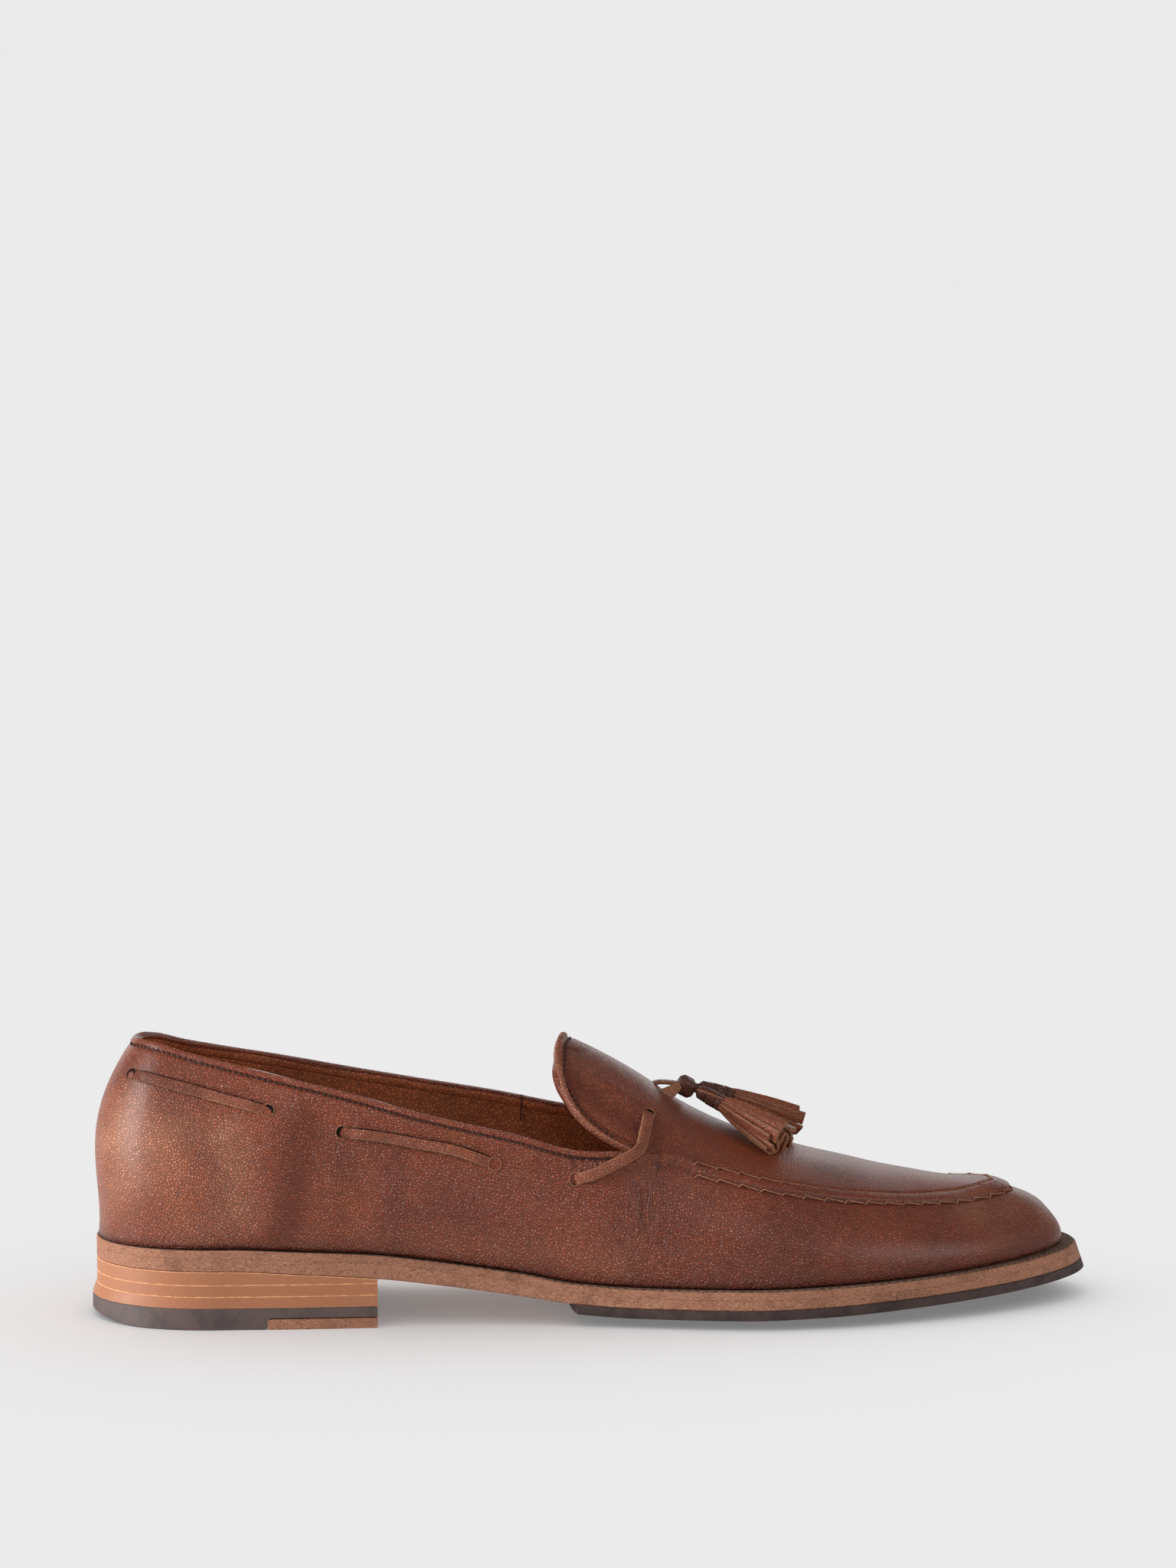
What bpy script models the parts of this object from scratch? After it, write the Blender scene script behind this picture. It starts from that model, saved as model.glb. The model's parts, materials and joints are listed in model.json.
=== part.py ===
"""Tassel loafer, right shoe: toe along +X, outer (lateral) side along -Y, standing on z = 0."""

import math

import bmesh
import bpy
from mathutils import Vector

# Driving dimensions, metres
SOLE_LENGTH = 0.300
BALL_WIDTH = 0.1035
COLLAR_HEIGHT = 0.0817  # top of the heel's back above the floor
TONGUE_HEIGHT = 0.0807  # top of the tongue above the floor
TOE_HEIGHT = 0.0350  # apron's front above the floor
HEEL_HEIGHT = 0.0171  # outsole's underside above the floor at the heel
WALL = 0.0022  # upper and its lining
SEAM_RISE = 0.0012  # raised apron seam
SEAM_WIDTH = 0.0040  # at the sides; the SEAM table widens it towards the toe
EDGE_ROLL = 0.0004  # folded topline edge

# Layers below the upper, metres
RUBBER_THICKNESS = 0.0026
OUTSOLE_THICKNESS = 0.0030
WELT_THICKNESS = 0.0023
INSOLE_THICKNESS = 0.0042
TOPLIFT_THICKNESS = 0.0063
INSET_THICKNESS = 0.0030
LIFT_THICKNESS = 0.0031
WELT_MARGIN = 0.0041  # welt that shows beside the upper at the toe
GAP = 0.0003

# Heel and half sole, metres
HEEL_LENGTH = 0.0828
BREAST_HOLLOW = 0.0040
INSET_LENGTH = 0.0320
HEEL_TUCK = 0.0013  # how far the stack draws in at the heel's back
TOE_LEAN = 0.35  # slope of the sole's edge at the toe
BACK_BEVEL = 0.0020
BREAST_CURVE = 12  # how late the rows bend towards the breast's hollow
HALF_SOLE_START = 0.1405

# Laces and tassels, metres
LACE_WIDTH = 0.0032
LACE_THICKNESS = 0.0012
KNOT_SIZE = 0.0056
LACE_LIFT = 0.0006  # front runs stand off for the edge that they cross
KNOT_BEVEL = 0.26  # share of the knot
KNOT_TURN = (20, 28, 12)  # degrees
TASSEL_HEAD = 0.0029  # radius of the rolled head
TASSEL_SPREAD = 0.0042  # radius at the fringe's end
TASSEL_STRIPS = 9
FRINGE_RELIEF = 0.0006

# Shares of the sole's length over which its ends change shape
LEAN_ZONE = 0.2
TUCK_ZONE = 0.2
BEVEL_ZONE = 0.05
TOE_BLEND = 0.1  # rim and crest settle on TOE_HEIGHT

# Counts of faces
COLUMNS = 88
SOLE_STATIONS = 34
CROSS_FACES = 12
HEEL_ROWS = 14

# Upper's rings: steps up the wall to the seam, then (share of the seam's width, raised or not)
WALL_LEVELS = (0.0, 0.09, 0.2, 0.32, 0.45, 0.6, 0.75, 0.88)
SEAM_STEPS = ((0.72, 1), (0.28, 1), (0.0, 0))


def table(columns, *rows):
    names = columns.split()
    return {name: [row[i] for row in rows] for i, name in enumerate(names)}


# Shares of the sole's length (t) and of half the ball width
SOLE_PLAN = table(
    "t lateral medial",
    (0.00, 0.625, 0.625),
    (0.12, 0.625, 0.620),
    (0.20, 0.648, 0.628),
    (0.30, 0.658, 0.575),
    (0.40, 0.696, 0.545),
    (0.50, 0.812, 0.635),
    (0.60, 0.950, 0.840),
    (0.66, 0.997, 0.960),
    (0.72, 0.988, 1.015),
    (0.80, 0.935, 0.995),
    (0.88, 0.870, 0.945),
    (0.94, 0.815, 0.900),
    (1.00, 0.770, 0.830),
)
HEEL_ROUND = 0.13
HEEL_SQUARENESS = 2.1
TOE_ROUND = 0.34
TOE_SQUARENESS = 2.2

# Leather sole's underside at its edge and middle, shares of its rise from the half sole's flat spot
# to the heel, and its thickness, a share of OUTSOLE_THICKNESS
SOLE_PROFILE = table(
    "t edge middle thick",
    (0.000, 1.000, 1.000, 1.20),
    (0.134, 0.988, 0.988, 1.20),
    (0.200, 0.916, 0.916, 1.25),
    (0.276, 0.801, 0.801, 1.37),
    (0.339, 0.641, 0.597, 1.30),
    (0.411, 0.430, 0.362, 1.23),
    (0.468, 0.268, 0.145, 1.00),
    (0.530, 0.205, 0.000, 0.95),
    (0.620, 0.203, 0.000, 0.93),
    (0.690, 0.232, 0.000, 0.90),
    (0.740, 0.268, 0.025, 0.87),
    (0.817, 0.335, 0.127, 0.82),
    (0.917, 0.442, 0.320, 0.84),
    (1.000, 0.570, 0.560, 0.86),
)
SOLE_FLAT = 0.34  # flat middle of the underside, a share of its half width

# Welt beside the upper, shares of WELT_MARGIN
MARGIN = table(
    "t margin",
    (0.00, 0.17),
    (0.10, 0.30),
    (0.30, 0.50),
    (0.45, 0.72),
    (0.60, 0.92),
    (0.80, 1.00),
    (1.00, 1.00),
)

# Topline and apron seam: forward is a share of SOLE_LENGTH, the widths are shares of the sole's
# own half width there, and the heights are shares of COLLAR_HEIGHT
RIM = table(
    "t forward lateral medial lateral_height medial_height",
    (0.000, 0.0418, 0.420, 0.420, 1.000, 1.000),
    (0.020, 0.0496, 0.430, 0.430, 1.002, 1.002),
    (0.050, 0.0645, 0.490, 0.490, 0.996, 0.992),
    (0.087, 0.0900, 0.560, 0.560, 0.972, 0.962),
    (0.133, 0.1330, 0.730, 0.740, 0.936, 0.922),
    (0.180, 0.1800, 0.835, 0.860, 0.896, 0.886),
    (0.245, 0.2450, 0.915, 0.980, 0.838, 0.836),
    (0.327, 0.3270, 0.990, 1.130, 0.755, 0.778),
    (0.410, 0.4100, 0.990, 1.220, 0.684, 0.722),
    (0.480, 0.4800, 0.905, 1.100, 0.622, 0.668),
    (0.526, 0.5260, 0.835, 0.990, 0.618, 0.640),
    (0.581, 0.5810, 0.755, 0.840, 0.579, 0.590),
    (0.674, 0.6740, 0.682, 0.705, 0.496, 0.499),
    (0.760, 0.7570, 0.600, 0.590, 0.443, 0.445),
    (0.843, 0.8217, 0.490, 0.478, 0.416, 0.416),
    (0.900, 0.8560, 0.430, 0.422, 0.412, 0.412),
    (0.950, 0.8835, 0.375, 0.385, 0.419, 0.419),
    (0.980, 0.8978, 0.322, 0.330, 0.425, 0.425),
    (1.000, 0.9050, 0.300, 0.310, 0.428, 0.428),
)
THROAT = 0.526

# Side walls: how the section leaves the welt and reaches the rim, shares of the wall's own height
WALL_SHAPE = table(
    "t foot_up lateral_foot_out medial_foot_out rim_down lateral_rim_out medial_rim_out",
    (0.00, 0.28, -0.030, -0.030, 0.46, 0.320, 0.320),
    (0.08, 0.28, 0.010, 0.010, 0.43, 0.250, 0.240),
    (0.15, 0.30, 0.090, 0.080, 0.36, 0.130, 0.110),
    (0.25, 0.30, 0.100, 0.090, 0.35, 0.110, 0.080),
    (0.41, 0.32, 0.120, 0.190, 0.32, 0.090, 0.050),
    (0.53, 0.36, 0.110, 0.160, 0.30, 0.110, 0.110),
    (0.66, 0.42, 0.100, 0.110, 0.25, 0.200, 0.200),
    (0.76, 0.45, 0.100, 0.100, 0.22, 0.290, 0.290),
    (0.84, 0.48, 0.100, 0.100, 0.22, 0.370, 0.370),
    (0.92, 0.50, 0.090, 0.090, 0.22, 0.400, 0.400),
    (1.00, 0.50, 0.050, 0.050, 0.22, 0.400, 0.400),
)

# Crest of the vamp and tongue: forward is a share of SOLE_LENGTH, height a share of TONGUE_HEIGHT,
# lean a share of half the ball width towards the inner side; bow and swell shape the cross rows
CREST = table(
    "t forward height lean bow lateral_swell medial_swell",
    (0.526, 0.4680, 1.000, 0.025, 8.0, 0.20, 0.00),
    (0.540, 0.4885, 0.965, 0.025, 6.5, 0.14, 0.00),
    (0.560, 0.5180, 0.907, 0.028, 5.0, 0.06, 0.00),
    (0.581, 0.5467, 0.843, 0.030, 4.0, 0.00, 0.00),
    (0.610, 0.5850, 0.746, 0.030, 3.0, 0.00, 0.00),
    (0.650, 0.6370, 0.647, 0.028, 2.3, 0.00, 0.00),
    (0.674, 0.6650, 0.612, 0.025, 2.0, 0.00, 0.00),
    (0.720, 0.7167, 0.554, 0.018, 2.0, 0.00, 0.00),
    (0.760, 0.7573, 0.518, 0.010, 2.0, 0.00, 0.00),
    (0.800, 0.7920, 0.486, 0.005, 2.0, 0.00, 0.00),
    (0.843, 0.8240, 0.464, 0.000, 2.0, 0.00, 0.00),
    (0.900, 0.8580, 0.443, 0.000, 2.0, 0.00, 0.00),
    (0.950, 0.8845, 0.433, 0.000, 2.0, 0.00, 0.00),
    (1.000, 0.9050, 0.434, 0.000, 2.0, 0.00, 0.00),
)

# Raised seam between the wall and the apron, shares of SEAM_RISE and SEAM_WIDTH
SEAM = table(
    "t rise width",
    (0.000, 0.00, 1.00),
    (0.545, 0.00, 1.00),
    (0.600, 0.85, 1.00),
    (0.680, 1.00, 1.05),
    (0.800, 1.00, 1.15),
    (0.900, 1.00, 1.40),
    (1.000, 1.00, 1.75),
)

# Lace on the quarters: t along the sole and the drop below the topline, a share of COLLAR_HEIGHT
REAR_RUN = table("t drop", (0.028, 0.118), (0.060, 0.118), (0.110, 0.114), (0.172, 0.114))
MIDDLE_RUN = table("t drop", (0.252, 0.128), (0.300, 0.100), (0.350, 0.088), (0.387, 0.105))
FRONT_RUN = table("t drop", (0.468, 0.100), (0.482, 0.086), (0.498, 0.060), (0.512, 0.034))
# and over the vamp: t of the cross row and the share from crest to rim
VAMP_RUN = table("t across", (0.538, 0.985), (0.555, 0.900), (0.566, 0.797), (0.575, 0.660))

# The bow's parts, metres from the crest at the slit: forward, inward, up; facing is what each lies on
SLIT_T = 0.592
STRAP = ((0.0000, 0.0000, 0.0008), (0.0026, 0.0000, 0.0016), (0.0052, -0.0003, 0.0012))
STRAP_FACING = (-0.3, 0.0, 1.0)
LOOP = ((0.0052, -0.0038, 0.0010), (0.0036, -0.0050, 0.0000), (0.0014, -0.0052, 0.0006))
LOOP_FACING = (0.5, -1.0, 0.4)
KNOT = (0.0092, -0.0010, -0.0007)
NEAR_TASSEL = ((0.0134, -0.0030, -0.0021), (0.0204, -0.0082, -0.0057), (0.0356, -0.0220, -0.0147))
FAR_TASSEL = ((0.0146, 0.0026, -0.0019), (0.0244, 0.0070, -0.0053), (0.0468, 0.0142, -0.0153))

# A tassel: radii are shares of TASSEL_HEAD and of TASSEL_SPREAD, relief a share of FRINGE_RELIEF
HEAD_SHAPE = table("along radius", (0.00, 0.50), (0.10, 0.85), (0.45, 0.95), (0.75, 1.08), (1.00, 1.00))
FRINGE_SHAPE = table(
    "along radius relief",
    (0.12, 0.64, 0.25),
    (0.35, 0.74, 0.60),
    (0.65, 0.87, 1.00),
    (0.97, 1.00, 1.00),
)

LEATHER = (0.230, 0.072, 0.030, 1.0)
LINING = (0.340, 0.160, 0.075, 1.0)
EDGE = (0.330, 0.125, 0.050, 1.0)
RUBBER = (0.050, 0.036, 0.032, 1.0)


def read(rows, column, t):
    """A table's column at t, by a cubic that never overshoots its rows."""
    ts, values = rows["t"], rows[column]
    if t <= ts[0]:
        return values[0]
    if t >= ts[-1]:
        return values[-1]
    slopes = [(b - a) / (v - u) for a, b, u, v in zip(values, values[1:], ts, ts[1:])]
    tangents = [slopes[0]]
    for before, after in zip(slopes, slopes[1:]):
        tangents.append(0.0 if before * after <= 0 else 2 * before * after / (before + after))
    tangents.append(slopes[-1])
    i = max(j for j in range(len(ts) - 1) if ts[j] <= t)
    span = ts[i + 1] - ts[i]
    u = (t - ts[i]) / span
    start = (1 + 2 * u) * (1 - u) ** 2 * values[i] + u * u * (3 - 2 * u) * values[i + 1]
    return start + span * u * (1 - u) * ((1 - u) * tangents[i] - u * tangents[i + 1])


def half_width(t, side):
    """Half width of the sole's plan at t; side is -1 for lateral and 1 for medial."""
    share = read(SOLE_PLAN, "lateral" if side < 0 else "medial", t)
    heel = 1 - min(t / HEEL_ROUND, 1)
    toe = 1 - min((1 - t) / TOE_ROUND, 1)
    heel_part = (1 - heel**HEEL_SQUARENESS) ** (1 / HEEL_SQUARENESS)
    toe_part = (1 - toe**TOE_SQUARENESS) ** (1 / TOE_SQUARENESS)
    return share * heel_part * toe_part * BALL_WIDTH / 2


WIDEST = [max(half_width(i / 100, side) for i in range(101)) for side in (-1, 1)]
MIDDLE_Y = (WIDEST[1] - WIDEST[0]) / 2  # the plan's box is centred on y = 0


def station(turn):
    """t and side at a turn round the sole: 0 heel back, up to 1 lateral, then medial to 2."""
    turn %= 2
    along = turn if turn <= 1 else 2 - turn
    return (1 - math.cos(math.pi * along)) / 2, -1 if turn <= 1 else 1


def plan_point(turn):
    t, side = station(turn)
    return Vector((t * SOLE_LENGTH - SOLE_LENGTH / 2, side * half_width(t, side) - MIDDLE_Y, 0))


def plan_normal(turn):
    step = 0.004
    along = plan_point(turn + step) - plan_point(turn - step)
    return Vector((along.y, -along.x, 0)).normalized()


def sole_edge(turn, inset, z):
    """A point inside the plan's edge at height z, leaning back at the toe and in at the heel's back."""
    t, _ = station(turn)
    point = plan_point(turn) - inset * plan_normal(turn)
    lean = TOE_LEAN * max(0, 1 - (1 - t) / LEAN_ZONE) ** 2
    tip_height = sole_rise("edge", 1) - RUBBER_THICKNESS - GAP
    above_toplift = min(1, max(0, z - TOPLIFT_THICKNESS) / LIFT_THICKNESS)
    tuck = HEEL_TUCK * max(0, 1 - t / TUCK_ZONE) ** 2 * above_toplift
    point.x += tuck - lean * max(0, z - tip_height)
    point.z = z
    return point


def sole_rise(column, t):
    ground = RUBBER_THICKNESS + GAP
    return ground + read(SOLE_PROFILE, column, t) * (HEEL_HEIGHT - ground)


def sole_underside(t, across):
    """Underside of the leather sole; across runs from -1 to 1."""
    edge, middle = sole_rise("edge", t), sole_rise("middle", t)
    return middle + (edge - middle) * (max(0, abs(across) - SOLE_FLAT) / (1 - SOLE_FLAT)) ** 2


def sole_top(t):
    return sole_rise("edge", t) + read(SOLE_PROFILE, "thick", t) * OUTSOLE_THICKNESS


def welt_top(t):
    return sole_top(t) + GAP + WELT_THICKNESS


def mix(a, b, share):
    return a + (b - a) * share


def material(name, colour, roughness):
    made = bpy.data.materials.new(name)
    made.use_nodes = True
    shader = made.node_tree.nodes["Principled BSDF"]
    shader.inputs["Base Color"].default_value = colour
    shader.inputs["Roughness"].default_value = roughness
    shader.inputs["Metallic"].default_value = 0.0
    return made


def add_object(name, bm, finish):
    bmesh.ops.recalc_face_normals(bm, faces=bm.faces)
    mesh = bpy.data.meshes.new(name)
    bm.to_mesh(mesh)
    bm.free()
    mesh.materials.append(finish)
    mesh.shade_smooth()
    mesh.set_sharp_from_angle(angle=math.radians(35))
    made = bpy.data.objects.new(name, mesh)
    bpy.context.scene.collection.objects.link(made)
    return made


def bridge(bm, first, second, closed):
    """Quads between two rows of vertices of the same length."""
    count = len(first)
    for i in range(count if closed else count - 1):
        j = (i + 1) % count
        bm.faces.new((first[i], first[j], second[j], second[i]))


def slab(name, turns, inset, bottom, top, faces, finish, bow=0.0):
    """A layer between two height functions of (t, across), cut square at both ends.

    bow hollows the last row towards the heel's back.
    """
    bm = bmesh.new()
    layers = []
    for height in (bottom, top):
        rows = []
        for turn in turns:
            t, _ = station(turn)
            near = sole_edge(turn, inset(t), height(t, -1))
            far = sole_edge(2 - turn, inset(t), height(t, 1))
            hollow = bow * (turn / turns[-1]) ** BREAST_CURVE
            row = []
            for i in range(faces + 1):
                across = 2 * i / faces - 1
                point = near.lerp(far, i / faces)
                point.x -= hollow * (1 - across**2)
                point.z = height(t, across)
                row.append(bm.verts.new(point))
            rows.append(row)
        layers.append(rows)
    for rows in layers:
        for first, second in zip(rows, rows[1:]):
            bridge(bm, first, second, False)
    for low, high in zip(loop_of(layers[0]), loop_of(layers[1])):
        bm.faces.new((low[0], low[1], high[1], high[0]))
    return add_object(name, bm, finish)


def loop_of(rows):
    """Pairs of neighbours round the edge of a grid of vertices."""
    edge = rows[0] + [row[-1] for row in rows[1:]]
    edge += rows[-1][-2::-1] + [row[0] for row in rows[-2:0:-1]]
    return list(zip(edge, edge[1:] + edge[:1]))


def turn_at(t):
    return math.acos(1 - 2 * t) / math.pi


def spread_turns(first, last, count):
    return [mix(first, last, i / count) for i in range(count + 1)]


def build_soles(leather_edge, rubber):
    """Outsole, half sole and welt."""
    first = 1 / SOLE_STATIONS
    whole = spread_turns(first, 1 - first, SOLE_STATIONS - 2)
    slab("outsole", whole, lambda t: 0.0, sole_underside, lambda t, across: sole_top(t), 6, leather_edge)

    front = spread_turns(turn_at(HALF_SOLE_START / SOLE_LENGTH), 1 - first, SOLE_STATIONS // 2)
    slab(
        "half_sole",
        front,
        lambda t: 0.0,
        lambda t, across: sole_underside(t, across) - GAP - RUBBER_THICKNESS,
        lambda t, across: sole_underside(t, across) - GAP,
        6,
        rubber,
    )

    bm = bmesh.new()
    rings = [[], [], [], []]
    for i in range(COLUMNS):
        turn = 2 * i / COLUMNS
        t, _ = station(turn)
        inner = WELT_MARGIN * read(MARGIN, "margin", t) + WALL + GAP
        low, high = sole_top(t) + GAP, welt_top(t)
        corners = ((0.0, low), (0.0, high), (inner, high), (inner, low))
        for ring, (inset, z) in zip(rings, corners):
            ring.append(bm.verts.new(sole_edge(turn, inset, z)))
    for ring, following in zip(rings, rings[1:] + rings[:1]):
        bridge(bm, ring, following, True)
    add_object("welt", bm, leather_edge)


def build_insole(lining):
    first = 1.6 / SOLE_STATIONS
    turns = spread_turns(first, 1 - first, SOLE_STATIONS - 6)
    slab(
        "insole",
        turns,
        lambda t: WELT_MARGIN * read(MARGIN, "margin", t) + WALL + 3 * GAP,
        lambda t, across: sole_top(t) + GAP,
        lambda t, across: sole_top(t) + GAP + INSOLE_THICKNESS,
        4,
        lining,
    )


def build_heel(leather_edge, rubber):
    """Toplift with its leather inset, two level lifts and the wedge."""
    first = 1 / SOLE_STATIONS
    breast = turn_at(HEEL_LENGTH / SOLE_LENGTH)
    turns = spread_turns(first, breast, HEEL_ROWS)

    def back_bevel(t, across):
        return BACK_BEVEL * max(0, 1 - t / BEVEL_ZONE) ** 1.5

    toplift = slab(
        "heel_toplift",
        turns,
        lambda t: 0.0,
        back_bevel,
        lambda t, across: TOPLIFT_THICKNESS,
        4,
        rubber,
        BREAST_HOLLOW,
    )
    inset = slab(
        "heel_inset",
        turns,
        lambda t: 0.0,
        lambda t, across: 0.0,
        lambda t, across: INSET_THICKNESS,
        4,
        leather_edge,
        BREAST_HOLLOW,
    )
    seam_x = HEEL_LENGTH - INSET_LENGTH - SOLE_LENGTH / 2
    cut(toplift, seam_x, seam_x + SOLE_LENGTH, INSET_THICKNESS + GAP)
    cut(inset, seam_x + GAP - SOLE_LENGTH, seam_x + GAP, SOLE_LENGTH)

    level = TOPLIFT_THICKNESS
    for name in ("heel_lift_3", "heel_lift_2"):
        low, high = level + GAP, level + GAP + LIFT_THICKNESS
        slab(
            name,
            turns,
            lambda t: 0.0,
            lambda t, across, z=low: z,
            lambda t, across, z=high: z,
            2,
            leather_edge,
            BREAST_HOLLOW,
        )
        level = high
    slab(
        "heel_lift_1",
        turns,
        lambda t: 0.0,
        lambda t, across: level + GAP,
        lambda t, across: sole_underside(t, across) - GAP,
        2,
        leather_edge,
        BREAST_HOLLOW,
    )


def cut(target, x_from, x_to, z_to):
    """Takes a box across the whole width, from below the floor up to z_to, out of the target."""
    bm = bmesh.new()
    bmesh.ops.create_cube(bm, size=1.0)
    for vertex in bm.verts:
        vertex.co.x = x_from if vertex.co.x < 0 else x_to
        vertex.co.y *= 2 * BALL_WIDTH
        vertex.co.z = -TOPLIFT_THICKNESS if vertex.co.z < 0 else z_to
    cutter = add_object(target.name + "_cutter", bm, target.data.materials[0])
    cutter.hide_render = True
    cutter.display_type = "WIRE"
    boolean = target.modifiers.new("cut", "BOOLEAN")
    boolean.operation = "DIFFERENCE"
    boolean.object = cutter


def toe_share(t):
    return max(0, 1 - (1 - t) / TOE_BLEND) ** 2


def wall_ends(turn):
    """Foot and rim of the upper's wall at a turn, and the two handles between them."""
    t, side = station(turn)
    outward = plan_normal(turn)
    up = Vector((0, 0, 1))
    foot = sole_edge(turn, WELT_MARGIN * read(MARGIN, "margin", t), welt_top(t))
    foot.z += GAP
    name = "lateral" if side < 0 else "medial"
    rim = Vector((
        read(RIM, "forward", t) * SOLE_LENGTH - SOLE_LENGTH / 2,
        side * read(RIM, name, t) * half_width(t, side) - MIDDLE_Y,
        read(RIM, name + "_height", t) * COLLAR_HEIGHT,
    ))
    rim.z = mix(rim.z, TOE_HEIGHT, toe_share(t))
    height = rim.z - foot.z
    foot_out = read(WALL_SHAPE, name + "_foot_out", t)
    rim_out = read(WALL_SHAPE, name + "_rim_out", t)
    low = foot + height * (read(WALL_SHAPE, "foot_up", t) * up + foot_out * outward)
    high = rim + height * (rim_out * outward - read(WALL_SHAPE, "rim_down", t) * up)
    return foot, low, high, rim


def wall_point(turn, share):
    """A point up the wall: share 0 at the welt and 1 at the rim."""
    foot, low, high, rim = wall_ends(turn)
    rest = 1 - share
    return rest**3 * foot + 3 * rest**2 * share * low + 3 * rest * share**2 * high + share**3 * rim


def wall_share_below(turn, distance):
    """The share at which the wall is that far from its rim, along the wall."""
    steps = 60
    length, share = 0.0, 1.0
    here = wall_point(turn, share)
    while length < distance and share > 0:
        share -= 1 / steps
        there = wall_point(turn, share)
        length += (there - here).length
        here = there
    return share + (length - distance) / max(length, 1e-9) / steps


def wall_normal(turn, share):
    step = 0.01
    along = wall_point(turn + step, share) - wall_point(turn - step, share)
    upward = wall_point(turn, min(share + step, 1)) - wall_point(turn, share - step)
    return along.cross(upward).normalized()


def crest_point(t):
    forward = read(CREST, "forward", t) * SOLE_LENGTH - SOLE_LENGTH / 2
    lean = read(CREST, "lean", t) * BALL_WIDTH / 2
    height = read(CREST, "height", t) * TONGUE_HEIGHT
    height = mix(height, TOE_HEIGHT, toe_share(t))
    return Vector((forward, lean * max(0, 1 - t) - MIDDLE_Y, height))


def vamp_point(t, across):
    """A point on the vamp, apron or tongue: across runs from the lateral rim, -1, to the medial, 1."""
    turn = turn_at(t)
    rim = wall_ends(turn if across < 0 else 2 - turn)[3]
    crest = crest_point(t)
    out = abs(across)
    swell = read(CREST, "lateral_swell" if across < 0 else "medial_swell", t)
    shape = 1 - out ** read(CREST, "bow", t) + swell * 4 * out * (1 - out)
    return Vector((
        mix(rim.x, crest.x, shape),
        mix(crest.y, rim.y, out),
        mix(crest.z, rim.z, out**2),
    ))


def vamp_normal(t, across):
    step = 0.01
    forward = vamp_point(t + step, across) - vamp_point(t - step, across)
    inward = vamp_point(t, across + step) - vamp_point(t, across - step)
    return forward.cross(inward).normalized()


def build_upper(leather):
    """One hollow wall: a ring of columns up from the welt, and cross rows over the vamp and tongue."""
    bm = bmesh.new()
    half = COLUMNS // 2
    columns = []
    for i in range(COLUMNS):
        turn = 2 * i / COLUMNS
        t, _ = station(turn)
        roll = read(SEAM, "rise", t) * SEAM_RISE + (EDGE_ROLL if t < THROAT else 0)
        seam_width = SEAM_WIDTH * read(SEAM, "width", t)
        top_share = wall_share_below(turn, seam_width)
        column = [wall_point(turn, top_share * level / WALL_LEVELS[-1]) for level in WALL_LEVELS]
        for drop, raised in SEAM_STEPS:
            share = wall_share_below(turn, seam_width * drop)
            column.append(wall_point(turn, share) + raised * roll * wall_normal(turn, share))
        columns.append([bm.verts.new(point) for point in column])
    for first, second in zip(columns, columns[1:] + columns[:1]):
        bridge(bm, first, second, False)

    throat = min(range(half), key=lambda i: abs(station(2 * i / COLUMNS)[0] - THROAT))
    rows = []
    for i in range(throat, half):
        t, _ = station(2 * i / COLUMNS)
        # the first row is the tongue's edge whichever column lies nearest the throat
        t = max(t, THROAT) if i > throat else THROAT
        row = [columns[i][-1]]
        for j in range(1, CROSS_FACES):
            row.append(bm.verts.new(vamp_point(t, 2 * j / CROSS_FACES - 1)))
        row.append(columns[COLUMNS - i][-1])
        rows.append(row)
    for first, second in zip(rows, rows[1:]):
        bridge(bm, first, second, False)
    front = columns[half][-1]
    for one, two in zip(rows[-1], rows[-1][1:]):
        bm.faces.new((one, two, front))
    bmesh.ops.recalc_face_normals(bm, faces=bm.faces)
    bm.normal_update()
    low_face = min(bm.faces, key=lambda face: face.calc_center_median().x)
    if low_face.normal.x > 0:
        bmesh.ops.reverse_faces(bm, faces=bm.faces)
        bm.normal_update()

    outer = list(bm.verts)
    edges = [edge for edge in bm.edges if edge.is_boundary]
    faces = list(bm.faces)
    inner = {vertex: bm.verts.new(vertex.co - WALL * vertex.normal) for vertex in outer}
    for column in columns:
        inner[column[0]].co.z = column[0].co.z
    for face in faces:
        bm.faces.new([inner[vertex] for vertex in reversed(face.verts)])
    for edge in edges:
        a, b = edge.verts
        bm.faces.new((a, b, inner[b], inner[a]))
    add_object("upper", bm, leather)


def strip(name, points, normals, finish):
    """A flat lace through the points, each with the normal of what it lies on."""
    bm = bmesh.new()
    sections = []
    for i, (point, normal) in enumerate(zip(points, normals)):
        along = (points[min(i + 1, len(points) - 1)] - points[max(i - 1, 0)]).normalized()
        beside = along.cross(normal).normalized()
        upward = beside.cross(along).normalized()
        low, high = point + GAP * upward, point + (GAP + LACE_THICKNESS) * upward
        half = beside * LACE_WIDTH / 2
        corners = (low - half, low + half, high + half, high - half)
        sections.append([bm.verts.new(corner) for corner in corners])
    for first, second in zip(sections, sections[1:]):
        bridge(bm, first, second, True)
    bm.faces.new(sections[0])
    bm.faces.new(sections[-1])
    return add_object(name, bm, finish)


def wall_route(rows, side, count):
    """Points and normals on the wall along a run of t and drop below the topline."""
    points, normals = [], []
    for i in range(count + 1):
        t = mix(rows["t"][0], rows["t"][-1], i / count)
        turn = turn_at(t) if side < 0 else 2 - turn_at(t)
        share = wall_share_below(turn, read(rows, "drop", t) * COLLAR_HEIGHT)
        points.append(wall_point(turn, share))
        normals.append(wall_normal(turn, share))
    return points, normals


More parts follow.
